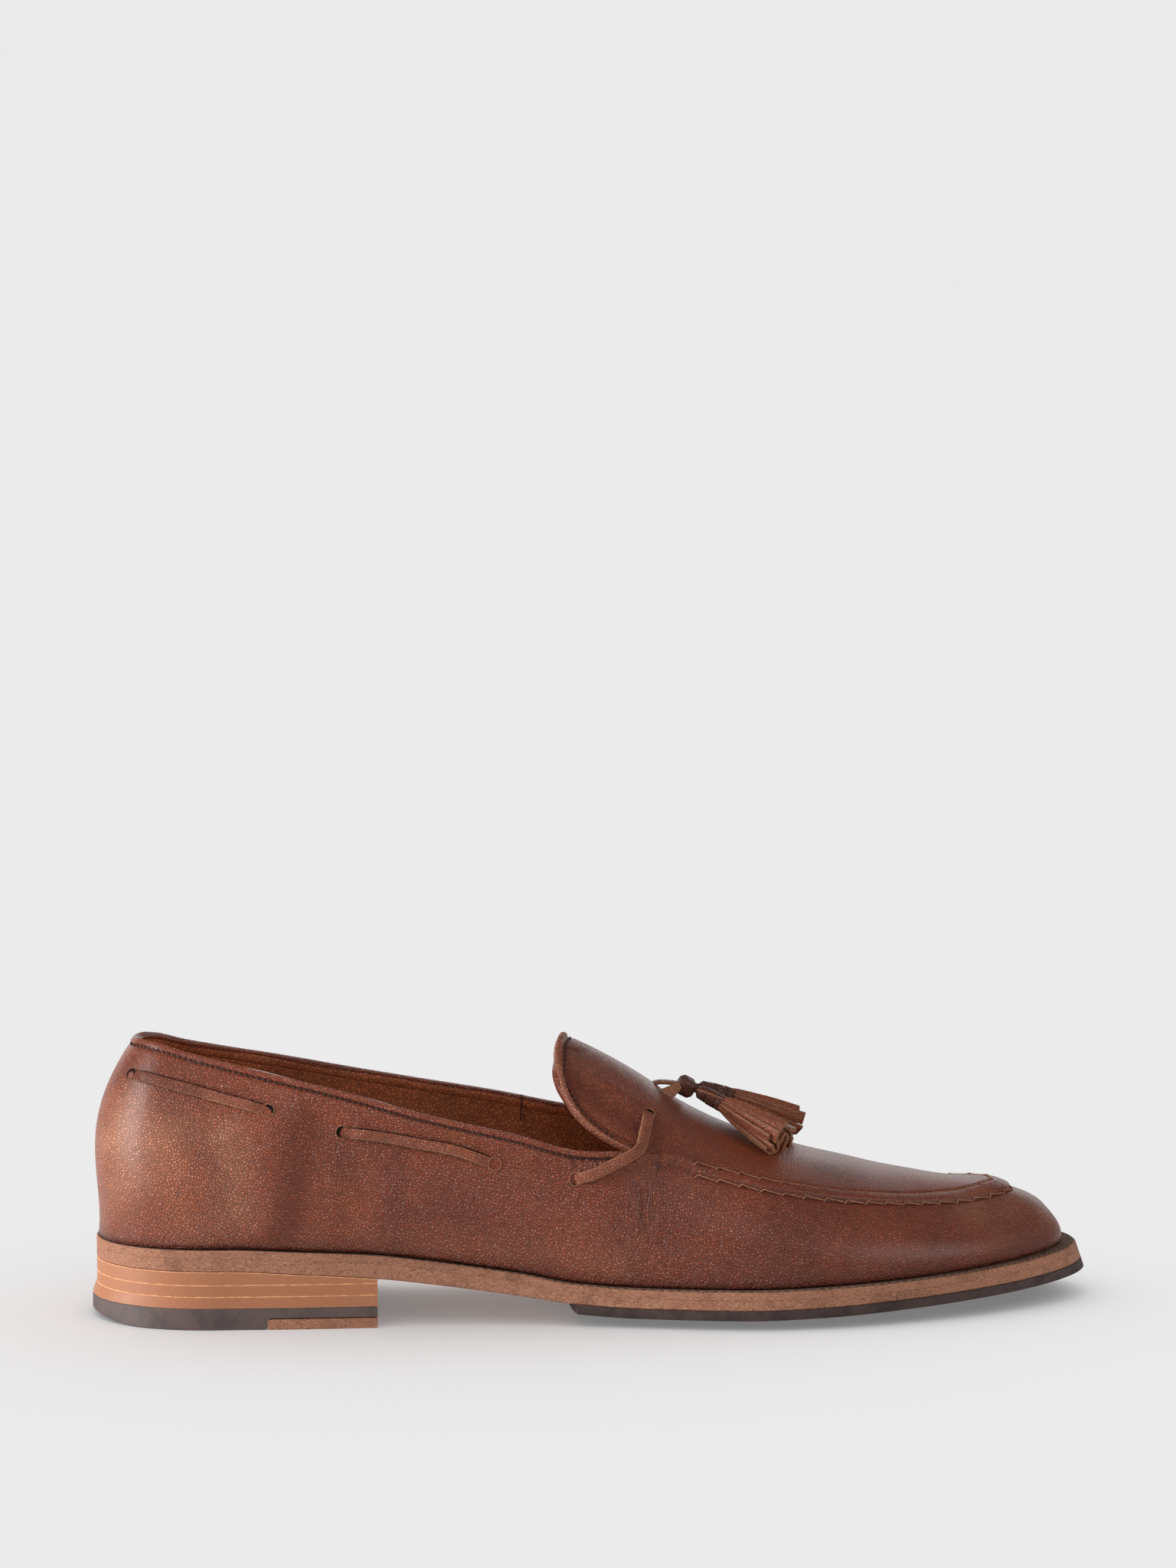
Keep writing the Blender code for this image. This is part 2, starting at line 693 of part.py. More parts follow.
def build_laces(leather):
    for side, name in ((-1, "lateral"), (1, "medial")):
        points, normals = wall_route(REAR_RUN, side, 10)
        strip("lace_rear_" + name, points, normals, leather)
        points, normals = wall_route(MIDDLE_RUN, side, 8)
        strip("lace_middle_" + name, points, normals, leather)
        points, normals = wall_route(FRONT_RUN, side, 4)
        for i in range(5):
            t = mix(VAMP_RUN["t"][0], VAMP_RUN["t"][-1], i / 4)
            across = side * read(VAMP_RUN, "across", t)
            points.append(vamp_point(t, across))
            normals.append(vamp_normal(t, across))
        lifted = [point + LACE_LIFT * normal for point, normal in zip(points, normals)]
        strip("lace_front_" + name, lifted, normals, leather)


def tassel(name, route, finish):
    """A rolled head and a flared fringe, whose strips are ridges of one section."""
    bm = bmesh.new()
    start, collar, end = route
    head_axis, fringe_axis = (collar - start).normalized(), (end - collar).normalized()
    sections = []
    for along, radius in zip(*HEAD_SHAPE.values()):
        sections.append((start.lerp(collar, along), head_axis, radius * TASSEL_HEAD, 0.0))
    for along, radius, relief in zip(*FRINGE_SHAPE.values()):
        centre = collar.lerp(end, along)
        sections.append((centre, fringe_axis, radius * TASSEL_SPREAD, relief * FRINGE_RELIEF))
    count = 2 * TASSEL_STRIPS
    rings = []
    for centre, axis, radius, relief in sections:
        beside = axis.cross(Vector((0, 0, 1))).normalized()
        upward = beside.cross(axis)
        ring = []
        for i in range(count):
            angle = 2 * math.pi * i / count
            reach = radius + relief * (1 if i % 2 else -1)
            outward = math.cos(angle) * beside + math.sin(angle) * upward
            ring.append(bm.verts.new(centre + reach * outward))
        rings.append(ring)
    for first, second in zip(rings, rings[1:]):
        bridge(bm, first, second, True)
    hollow = collar.lerp(end, FRINGE_SHAPE["along"][-1]) - fringe_axis * TASSEL_SPREAD / 2
    for ring, middle in ((rings[0], start), (rings[-1], hollow)):
        tip = bm.verts.new(middle)
        for one, two in zip(ring, ring[1:] + ring[:1]):
            bm.faces.new((one, two, tip))
    add_object(name, bm, finish)


def build_bow(leather):
    slit = crest_point(SLIT_T)

    def place(offset):
        return slit + Vector(offset)

    for name, route, facing in (("bow_strap", STRAP, STRAP_FACING), ("bow_loop", LOOP, LOOP_FACING)):
        normals = [Vector(facing).normalized()] * len(route)
        strip(name, [place(p) for p in route], normals, leather)

    bm = bmesh.new()
    bmesh.ops.create_cube(bm, size=KNOT_SIZE)
    bevel = KNOT_SIZE * KNOT_BEVEL
    bmesh.ops.bevel(bm, geom=bm.edges[:], offset=bevel, segments=2, profile=0.6, affect="EDGES")
    knot = add_object("bow_knot", bm, leather)
    knot.location = place(KNOT)
    knot.rotation_euler = [math.radians(angle) for angle in KNOT_TURN]

    tassel("tassel_lateral", [place(p) for p in NEAR_TASSEL], leather)
    tassel("tassel_medial", [place(p) for p in FAR_TASSEL], leather)


def main():
    for existing in list(bpy.data.objects):
        bpy.data.objects.remove(existing)
    leather = material("upper_leather", LEATHER, 0.42)
    lining = material("lining_leather", LINING, 0.6)
    leather_edge = material("sole_leather", EDGE, 0.75)
    rubber = material("sole_rubber", RUBBER, 0.8)
    build_soles(leather_edge, rubber)
    build_heel(leather_edge, rubber)
    build_insole(lining)
    build_upper(leather)
    build_laces(leather)
    build_bow(leather)


main()
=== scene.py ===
import json
import math

import bpy
import numpy as np
from mathutils import Matrix, Vector, noise
from mathutils.bvhtree import BVHTree

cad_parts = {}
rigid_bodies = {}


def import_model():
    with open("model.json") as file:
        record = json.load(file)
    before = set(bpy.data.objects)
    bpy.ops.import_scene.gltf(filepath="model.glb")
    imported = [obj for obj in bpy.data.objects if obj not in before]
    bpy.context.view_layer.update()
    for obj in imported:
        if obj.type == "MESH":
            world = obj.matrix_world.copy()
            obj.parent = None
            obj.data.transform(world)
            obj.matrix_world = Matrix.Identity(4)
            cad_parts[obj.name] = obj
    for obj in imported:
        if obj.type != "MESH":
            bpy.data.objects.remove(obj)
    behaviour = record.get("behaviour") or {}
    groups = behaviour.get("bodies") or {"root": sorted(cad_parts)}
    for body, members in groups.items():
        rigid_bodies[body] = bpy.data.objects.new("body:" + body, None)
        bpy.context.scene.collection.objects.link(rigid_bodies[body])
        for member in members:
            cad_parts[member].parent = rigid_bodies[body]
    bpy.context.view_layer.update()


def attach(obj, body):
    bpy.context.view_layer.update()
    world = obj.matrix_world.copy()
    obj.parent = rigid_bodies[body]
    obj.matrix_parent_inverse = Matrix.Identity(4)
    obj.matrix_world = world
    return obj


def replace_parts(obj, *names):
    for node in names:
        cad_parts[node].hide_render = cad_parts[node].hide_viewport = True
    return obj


for startObject in list(bpy.data.objects):
    bpy.data.objects.remove(startObject)

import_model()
mm = 0.001


# the last: the shoe's own form, in shares of its main sizes

def table(columns, *rows):
    return {name: [row[i] for row in rows] for i, name in enumerate(columns.split())}


last = {
    "soleLength": 0.300, "ballWidth": 0.1035, "collarHeight": 0.0817, "tongueHeight": 0.0807,
    "toeHeight": 0.0350, "heelHeight": 0.0171, "wall": 0.0022, "seamWidth": 0.0040, "rubber": 0.0026,
    "outsole": 0.0030, "welt": 0.0023, "insole": 0.0042, "toplift": 0.0063, "inset": 0.0030, "lift": 0.0031,
    "weltMargin": 0.0041, "gap": 0.0003, "heelLength": 0.0828, "breastHollow": 0.0040, "insetLength": 0.0320,
    "heelTuck": 0.0013, "toeLean": 0.35, "backBevel": 0.0020, "halfSoleStart": 0.1405, "throat": 0.526,
    "heelRound": 0.13, "heelSquareness": 2.1, "toeRound": 0.34, "toeSquareness": 2.2, "soleFlat": 0.34,
}

solePlan = table(
    "t lateral medial",
    (0.00, 0.625, 0.625), (0.12, 0.625, 0.620), (0.20, 0.648, 0.628), (0.30, 0.658, 0.575),
    (0.40, 0.696, 0.545), (0.50, 0.812, 0.635), (0.60, 0.950, 0.840), (0.66, 0.997, 0.960),
    (0.72, 0.988, 1.015), (0.80, 0.935, 0.995), (0.88, 0.870, 0.945), (0.94, 0.815, 0.900),
    (1.00, 0.770, 0.830),
)
soleProfile = table(
    "t edge middle thick",
    (0.000, 1.000, 1.000, 1.20), (0.134, 0.988, 0.988, 1.20), (0.200, 0.916, 0.916, 1.25),
    (0.276, 0.801, 0.801, 1.37), (0.339, 0.641, 0.597, 1.30), (0.411, 0.430, 0.362, 1.23),
    (0.468, 0.268, 0.145, 1.00), (0.530, 0.205, 0.000, 0.95), (0.620, 0.203, 0.000, 0.93),
    (0.690, 0.232, 0.000, 0.90), (0.740, 0.268, 0.025, 0.87), (0.817, 0.335, 0.127, 0.82),
    (0.917, 0.442, 0.320, 0.84), (1.000, 0.570, 0.560, 0.86),
)
weltMargin = table(
    "t margin",
    (0.00, 0.17), (0.10, 0.30), (0.30, 0.50), (0.45, 0.72), (0.60, 0.92), (0.80, 1.00), (1.00, 1.00),
)
rimLine = table(
    "t forward lateral medial lateralHeight medialHeight",
    (0.000, 0.0418, 0.420, 0.420, 1.000, 1.000), (0.020, 0.0496, 0.430, 0.430, 1.002, 1.002),
    (0.050, 0.0645, 0.490, 0.490, 0.996, 0.992), (0.087, 0.0900, 0.560, 0.560, 0.972, 0.962),
    (0.133, 0.1330, 0.730, 0.740, 0.936, 0.922), (0.180, 0.1800, 0.835, 0.860, 0.896, 0.886),
    (0.245, 0.2450, 0.915, 0.980, 0.838, 0.836), (0.327, 0.3270, 0.990, 1.130, 0.755, 0.778),
    (0.410, 0.4100, 0.990, 1.220, 0.684, 0.722), (0.480, 0.4800, 0.905, 1.100, 0.622, 0.668),
    (0.526, 0.5260, 0.835, 0.990, 0.618, 0.640), (0.581, 0.5810, 0.755, 0.840, 0.579, 0.590),
    (0.674, 0.6740, 0.682, 0.705, 0.496, 0.499), (0.760, 0.7570, 0.600, 0.590, 0.443, 0.445),
    (0.843, 0.8217, 0.490, 0.478, 0.416, 0.416), (0.900, 0.8560, 0.430, 0.422, 0.412, 0.412),
    (0.950, 0.8835, 0.375, 0.385, 0.419, 0.419), (0.980, 0.8978, 0.322, 0.330, 0.425, 0.425),
    (1.000, 0.9050, 0.300, 0.310, 0.428, 0.428),
)
wallShape = table(
    "t footUp lateralFootOut medialFootOut rimDown lateralRimOut medialRimOut",
    (0.00, 0.28, -0.030, -0.030, 0.46, 0.320, 0.320), (0.08, 0.28, 0.010, 0.010, 0.43, 0.250, 0.240),
    (0.15, 0.30, 0.090, 0.080, 0.36, 0.130, 0.110), (0.25, 0.30, 0.100, 0.090, 0.35, 0.110, 0.080),
    (0.41, 0.32, 0.120, 0.190, 0.32, 0.090, 0.050), (0.53, 0.36, 0.110, 0.160, 0.30, 0.110, 0.110),
    (0.66, 0.42, 0.100, 0.110, 0.25, 0.200, 0.200), (0.76, 0.45, 0.100, 0.100, 0.22, 0.290, 0.290),
    (0.84, 0.48, 0.100, 0.100, 0.22, 0.370, 0.370), (0.92, 0.50, 0.090, 0.090, 0.22, 0.400, 0.400),
    (1.00, 0.50, 0.050, 0.050, 0.22, 0.400, 0.400),
)
crestLine = table(
    "t forward height lean bow lateralSwell medialSwell",
    (0.526, 0.4680, 1.000, 0.025, 8.0, 0.20, 0.00), (0.540, 0.4885, 0.965, 0.025, 6.5, 0.14, 0.00),
    (0.560, 0.5180, 0.907, 0.028, 5.0, 0.06, 0.00), (0.581, 0.5467, 0.843, 0.030, 4.0, 0.00, 0.00),
    (0.610, 0.5850, 0.746, 0.030, 3.0, 0.00, 0.00), (0.650, 0.6370, 0.647, 0.028, 2.3, 0.00, 0.00),
    (0.674, 0.6650, 0.612, 0.025, 2.0, 0.00, 0.00), (0.720, 0.7167, 0.554, 0.018, 2.0, 0.00, 0.00),
    (0.760, 0.7573, 0.518, 0.010, 2.0, 0.00, 0.00), (0.800, 0.7920, 0.486, 0.005, 2.0, 0.00, 0.00),
    (0.843, 0.8240, 0.464, 0.000, 2.0, 0.00, 0.00), (0.900, 0.8580, 0.443, 0.000, 2.0, 0.00, 0.00),
    (0.950, 0.8845, 0.433, 0.000, 2.0, 0.00, 0.00), (1.000, 0.9050, 0.434, 0.000, 2.0, 0.00, 0.00),
)
seamLine = table(
    "t rise width",
    (0.000, 0.00, 1.00), (0.545, 0.00, 1.00), (0.600, 0.85, 1.00), (0.680, 1.00, 1.05), (0.800, 1.00, 1.15),
    (0.900, 1.00, 1.40), (1.000, 1.00, 1.75),
)


def readTable(rows, column, t):
    # a cubic through the rows that never overshoots them
    ts, values = rows["t"], rows[column]
    if t <= ts[0]:
        return values[0]
    if t >= ts[-1]:
        return values[-1]
    slopes = [(b - a) / (v - u) for a, b, u, v in zip(values, values[1:], ts, ts[1:])]
    tangents = [slopes[0]]
    for before, after in zip(slopes, slopes[1:]):
        tangents.append(0.0 if before * after <= 0 else 2 * before * after / (before + after))
    tangents.append(slopes[-1])
    i = max(j for j in range(len(ts) - 1) if ts[j] <= t)
    span = ts[i + 1] - ts[i]
    u = (t - ts[i]) / span
    start = (1 + 2 * u) * (1 - u) ** 2 * values[i] + u * u * (3 - 2 * u) * values[i + 1]
    return start + span * u * (1 - u) * ((1 - u) * tangents[i] - u * tangents[i + 1])


def mixed(a, b, share):
    return a + (b - a) * share


def halfWidth(t, side):
    share = readTable(solePlan, "lateral" if side < 0 else "medial", t)
    heel = 1 - min(t / last["heelRound"], 1)
    toe = 1 - min((1 - t) / last["toeRound"], 1)
    heelPart = (1 - heel ** last["heelSquareness"]) ** (1 / last["heelSquareness"])
    toePart = (1 - toe ** last["toeSquareness"]) ** (1 / last["toeSquareness"])
    return share * heelPart * toePart * last["ballWidth"] / 2


widest = [max(halfWidth(i / 100, side) for i in range(101)) for side in (-1, 1)]
middleY = (widest[1] - widest[0]) / 2


def station(turn):
    turn %= 2
    along = turn if turn <= 1 else 2 - turn
    return (1 - math.cos(math.pi * along)) / 2, -1 if turn <= 1 else 1


def turnAt(t):
    return math.acos(1 - 2 * t) / math.pi


def planPoint(turn):
    t, side = station(turn)
    return Vector((t * last["soleLength"] - last["soleLength"] / 2, side * halfWidth(t, side) - middleY, 0))


def planNormal(turn):
    along = planPoint(turn + 0.004) - planPoint(turn - 0.004)
    return Vector((along.y, -along.x, 0)).normalized()


def soleRise(column, t):
    ground = last["rubber"] + last["gap"]
    return ground + readTable(soleProfile, column, t) * (last["heelHeight"] - ground)


def soleEdge(turn, inset, z):
    t, _ = station(turn)
    point = planPoint(turn) - inset * planNormal(turn)
    lean = last["toeLean"] * max(0, (t - 0.8) / 0.2) ** 2
    tipHeight = soleRise("edge", 1) - last["rubber"] - last["gap"]
    tuck = last["heelTuck"] * max(0, 1 - t / 0.2) ** 2 * min(1, max(0, z - last["toplift"]) / last["lift"])
    point.x += tuck - lean * max(0, z - tipHeight)
    point.z = z
    return point


def soleUnderside(t, across):
    edge, middle = soleRise("edge", t), soleRise("middle", t)
    return middle + (edge - middle) * (max(0, abs(across) - last["soleFlat"]) / (1 - last["soleFlat"])) ** 2


def soleTop(t):
    return soleRise("edge", t) + readTable(soleProfile, "thick", t) * last["outsole"]


def weltTop(t):
    return soleTop(t) + last["gap"] + last["welt"]


def wallEnds(turn):
    # foot, two handles and rim of the upper's wall
    t, side = station(turn)
    outward = planNormal(turn)
    up = Vector((0, 0, 1))
    foot = soleEdge(turn, last["weltMargin"] * readTable(weltMargin, "margin", t), weltTop(t))
    foot.z += last["gap"]
    name = "lateral" if side < 0 else "medial"
    rim = Vector((
        readTable(rimLine, "forward", t) * last["soleLength"] - last["soleLength"] / 2,
        side * readTable(rimLine, name, t) * halfWidth(t, side) - middleY,
        readTable(rimLine, name + "Height", t) * last["collarHeight"],
    ))
    rim.z = mixed(rim.z, last["toeHeight"], max(0, (t - 0.9) / 0.1) ** 2)
    height = rim.z - foot.z
    footUp, footOut, rimDown, rimOut = (
        readTable(wallShape, column, t) for column in ("footUp", name + "FootOut", "rimDown", name + "RimOut")
    )
    low = foot + height * (footUp * up + footOut * outward)
    high = rim + height * (rimOut * outward - rimDown * up)
    return foot, low, high, rim


def wallCurve(turn, distances):
    # points on the wall at the given distances below the rim, measured along it, and the wall's whole length
    ends = np.array([list(p) for p in wallEnds(turn)])

    def at(shares):
        s = np.asarray(shares)[:, None]
        r = 1 - s
        return r**3 * ends[0] + 3 * r * r * s * ends[1] + 3 * r * s * s * ends[2] + s**3 * ends[3]

    fine = np.linspace(1, 0, 121)
    steps = np.linalg.norm(np.diff(at(fine), axis=0), axis=1)
    lengths = np.concatenate([[0], np.cumsum(steps)])
    return at(np.interp(distances, lengths, fine)), lengths[-1]


def wallPoint(turn, distance):
    return Vector(wallCurve(turn, [distance])[0][0])


def wallNormal(turn, distance):
    along = wallPoint(turn + 0.006, distance) - wallPoint(turn - 0.006, distance)
    upward = wallPoint(turn, max(0, distance - 0.0005)) - wallPoint(turn, distance + 0.0005)
    return along.cross(upward).normalized()


def crestPoint(t):
    forward = readTable(crestLine, "forward", t) * last["soleLength"] - last["soleLength"] / 2
    lean = readTable(crestLine, "lean", t) * last["ballWidth"] / 2
    height = readTable(crestLine, "height", t) * last["tongueHeight"]
    height = mixed(height, last["toeHeight"], max(0, (t - 0.9) / 0.1) ** 2)
    return Vector((forward, lean * max(0, 1 - t) - middleY, height))


def vampPoint(t, across):
    # across runs from the lateral rim, -1, to the medial one, 1
    turn = turnAt(t)
    rim = wallEnds(turn if across < 0 else 2 - turn)[3]
    crest = crestPoint(t)
    out = abs(across)
    swell = readTable(crestLine, "lateralSwell" if across < 0 else "medialSwell", t)
    shape = 1 - out ** readTable(crestLine, "bow", t) + swell * 4 * out * (1 - out)
    return Vector((mixed(rim.x, crest.x, shape), mixed(crest.y, rim.y, out), mixed(crest.z, rim.z, out**2)))


def vampNormal(t, across):
    forward = vampPoint(t + 0.004, across) - vampPoint(t - 0.004, across)
    low, high = max(-1, across - 0.02), min(1, across + 0.02)
    inward = vampPoint(t, high) - vampPoint(t, low)
    return forward.cross(inward).normalized()


# camera, lights and floor

view = {"place": (-0.11887, -1.04325, 0.215), "turn": 6.3918, "tilt": 3.2311, "lens": 80.657}
studio = {
    "floorGrey": 0.80, "floorGlow": 0.18, "floorSun": 1.9, "floorSunSpread": 140,
    "floorSunFrom": (-0.15, 0.05, 1.0), "ambient": 0.22, "backdrop": 0.823,
    # place, aim, width, height, power
    "leftFront": ((-1.38, -0.26, 0.40), (-0.10, 0.0, 0.04), 0.6, 1.0, 32.0),
    "behind": ((0.05, 1.60, 0.40), (0.02, 0.0, 0.05), 2.6, 0.4, 6.8),
    "front": ((-0.20, -1.5, 1.15), (0.0, 0.0, 0.04), 1.2, 0.8, 5.2),
    "toeSide": ((1.25, -0.90, 0.65), (0.10, 0.0, 0.03), 0.8, 0.8, 9.0),
}


def makeCamera():
    camera = bpy.data.objects.new("camera", bpy.data.cameras.new("camera"))
    bpy.context.scene.collection.objects.link(camera)
    camera.data.lens = view["lens"]
    camera.data.sensor_width = 36
    camera.location = view["place"]
    camera.rotation_euler = (math.radians(90 - view["tilt"]), 0, math.radians(-view["turn"]))
    bpy.context.scene.camera = camera


def makeWorld():
    world = bpy.data.worlds.new("studio")
    bpy.context.scene.world = world
    world.use_nodes = True
    tree = world.node_tree
    tree.nodes.clear()
    seen = tree.nodes.new("ShaderNodeBackground")
    seen.inputs["Color"].default_value = (studio["backdrop"],) * 3 + (1,)
    lit = tree.nodes.new("ShaderNodeBackground")
    lit.inputs["Color"].default_value = (studio["ambient"],) * 3 + (1,)
    path = tree.nodes.new("ShaderNodeLightPath")
    pick = tree.nodes.new("ShaderNodeMixShader")
    out = tree.nodes.new("ShaderNodeOutputWorld")
    tree.links.new(path.outputs["Is Camera Ray"], pick.inputs[0])
    tree.links.new(lit.outputs[0], pick.inputs[1])
    tree.links.new(seen.outputs[0], pick.inputs[2])
    tree.links.new(pick.outputs[0], out.inputs["Surface"])


def makeFloor():
    bpy.ops.object.select_all(action="DESELECT")
    bpy.ops.mesh.primitive_plane_add(size=60)
    floor = bpy.context.object
    floor.name = "floor"
    paper = bpy.data.materials.new("paperFloor")
    paper.use_nodes = True
    shader = paper.node_tree.nodes["Principled BSDF"]
    shader.inputs["Base Color"].default_value = (studio["floorGrey"],) * 3 + (1,)
    shader.inputs["Roughness"].default_value = 1.0
    shader.inputs["Specular IOR Level"].default_value = 0.0
    shader.inputs["Emission Color"].default_value = (1.0, 1.0, 1.0, 1.0)
    shader.inputs["Emission Strength"].default_value = studio["floorGlow"]
    floor.data.materials.append(paper)
    return floor


def softLight(name, settings, receivers):
    place, aim, width, height, power = settings
    lamp = bpy.data.lights.new(name, "AREA")
    lamp.shape = "RECTANGLE"
    lamp.size, lamp.size_y, lamp.energy = width, height, power
    made = bpy.data.objects.new(name, lamp)
    bpy.context.scene.collection.objects.link(made)
    made.location = place
    made.rotation_euler = (Vector(aim) - Vector(place)).to_track_quat("-Z", "Y").to_euler()
    made.light_linking.receiver_collection = receivers


makeCamera()
makeWorld()
floor = makeFloor()
bpy.context.scene.view_settings.view_transform = "Standard"
print("camera, world and floor ready")


# finishes

finish = {
    # burnt is the dark dye of the clouds and, on the upper, also the colour of the painted shade
    "cognac": (0.275, 0.050, 0.014), "burnt": (0.135, 0.024, 0.009), "orange": (0.340, 0.078, 0.014),
    # the pale pink tint of the painted highlight on the upper
    "rubbed": (0.560, 0.220, 0.115),
    "binding": (0.360, 0.125, 0.070), "lace": (0.350, 0.095, 0.044), "knot": (0.130, 0.033, 0.016),
    "lining": (0.430, 0.115, 0.042), "liningDark": (0.220, 0.058, 0.022), "liningPale": (0.360, 0.120, 0.045),
    "cut": (0.420, 0.180, 0.095), "cutShade": (0.230, 0.130, 0.085),
    "welt": (0.150, 0.080, 0.052), "weltDark": (0.070, 0.036, 0.024),
    "rawEdge": (0.430, 0.200, 0.100), "rawDark": (0.240, 0.090, 0.045), "rawPale": (0.560, 0.290, 0.150),
    "soleEdge": (0.350, 0.148, 0.082), "soleDark": (0.130, 0.048, 0.026), "solePale": (0.620, 0.360, 0.220),
    "stack": (0.350, 0.136, 0.062), "stackDark": (0.330, 0.110, 0.045), "stackPale": (0.560, 0.240, 0.110),
    "seamPale": (0.850, 0.460, 0.250),
    "rubber": (0.062, 0.039, 0.035), "rubberDark": (0.036, 0.024, 0.022),
    "toplift": (0.095, 0.062, 0.056), "topliftDark": (0.058, 0.040, 0.038),
    "threadDark": (0.035, 0.012, 0.008), "threadShade": (0.020, 0.008, 0.005),
    "threadTan": (0.380, 0.160, 0.085), "threadBrown": (0.210, 0.080, 0.042),
    # near black for the inside of holes and slits: painted shade
    "hole": (0.012, 0.006, 0.004), "holeShade": (0.006, 0.003, 0.002),
}


def addNode(tree, kind, **settings):
    made = tree.nodes.new("ShaderNode" + kind)
    for key, value in settings.items():
        setattr(made, key, value)
    return made


def feed(tree, source, target, socket):
    if isinstance(source, (int, float)):
        target.inputs[socket].default_value = source
    elif isinstance(source, tuple):
        target.inputs[socket].default_value = source + (1,) * (4 - len(source))
    else:
        tree.links.new(source, target.inputs[socket])


def mathNode(tree, operation, a, b=0.0, clamp=False):
    made = addNode(tree, "Math", operation=operation, use_clamp=clamp)
    feed(tree, a, made, 0)
    feed(tree, b, made, 1)
    return made.outputs[0]


def mixNode(tree, factor, a, b):
    made = addNode(tree, "MixRGB")
    feed(tree, factor, made, 0)
    feed(tree, a, made, 1)
    feed(tree, b, made, 2)
    return made.outputs[0]


def times(tree, a, b):
    return mathNode(tree, "MULTIPLY", a, b)


def plus(tree, a, b):
    return mathNode(tree, "ADD", a, b)


def rangeNode(tree, value, low, high):
    made = addNode(tree, "MapRange", interpolation_type="SMOOTHSTEP")
    for socket, number in enumerate((value, low, high)):
        feed(tree, number, made, socket)
    return made.outputs[0]


def noiseNode(tree, vector, scale, detail=3.0, rough=0.5, distortion=0.0):
    made = addNode(tree, "TexNoise")
    tree.links.new(vector, made.inputs["Vector"])
    settings = {"Scale": scale, "Detail": detail, "Roughness": rough, "Distortion": distortion}
    for socket, number in settings.items():
        feed(tree, number, made, socket)
    return made.outputs["Fac"]


def newGroup(name, inputs, outputs):
    group = bpy.data.node_groups.new(name, "ShaderNodeTree")
    for label, kind in inputs:
        group.interface.new_socket(name=label, in_out="INPUT", socket_type="NodeSocket" + kind)
    for label, kind in outputs:
        group.interface.new_socket(name=label, in_out="OUTPUT", socket_type="NodeSocket" + kind)
    return group, group.nodes.new("NodeGroupInput"), group.nodes.new("NodeGroupOutput")


patinaLook = {
    # noise on the leather: scale, detail, roughness, distortion
    "clouds": (26.0, 3.0, 0.55, 0.4), "spots": (58.0, 4.0, 0.6, 0.6), "fine": (420.0, 3.0, 0.6),
    "grit": (1900.0, 2.0, 0.6), "folds": (520.0, 2.0, 0.5, 0.9), "foldStretch": (1.0, 0.55, 0.38),
    "wobbleScale": 260.0, "wobble": 0.0012,
    # the part of each noise that shows
    "cloudRange": (0.42, 0.66), "spotRange": (0.50, 0.74), "valleyRange": (0.0, 0.32),
    "foldRange": (0.0, 0.10),
    # what each adds to colour, height and roughness
    "leastTone": 0.50, "pebbleTone": 0.62, "fineTone": 0.30, "pebbleHeight": 0.7, "gritHeight": 0.45,
    "fineHeight": 0.9, "foldHeight": 1.3, "cloudRough": 0.16, "pebbleRough": -0.06,
}


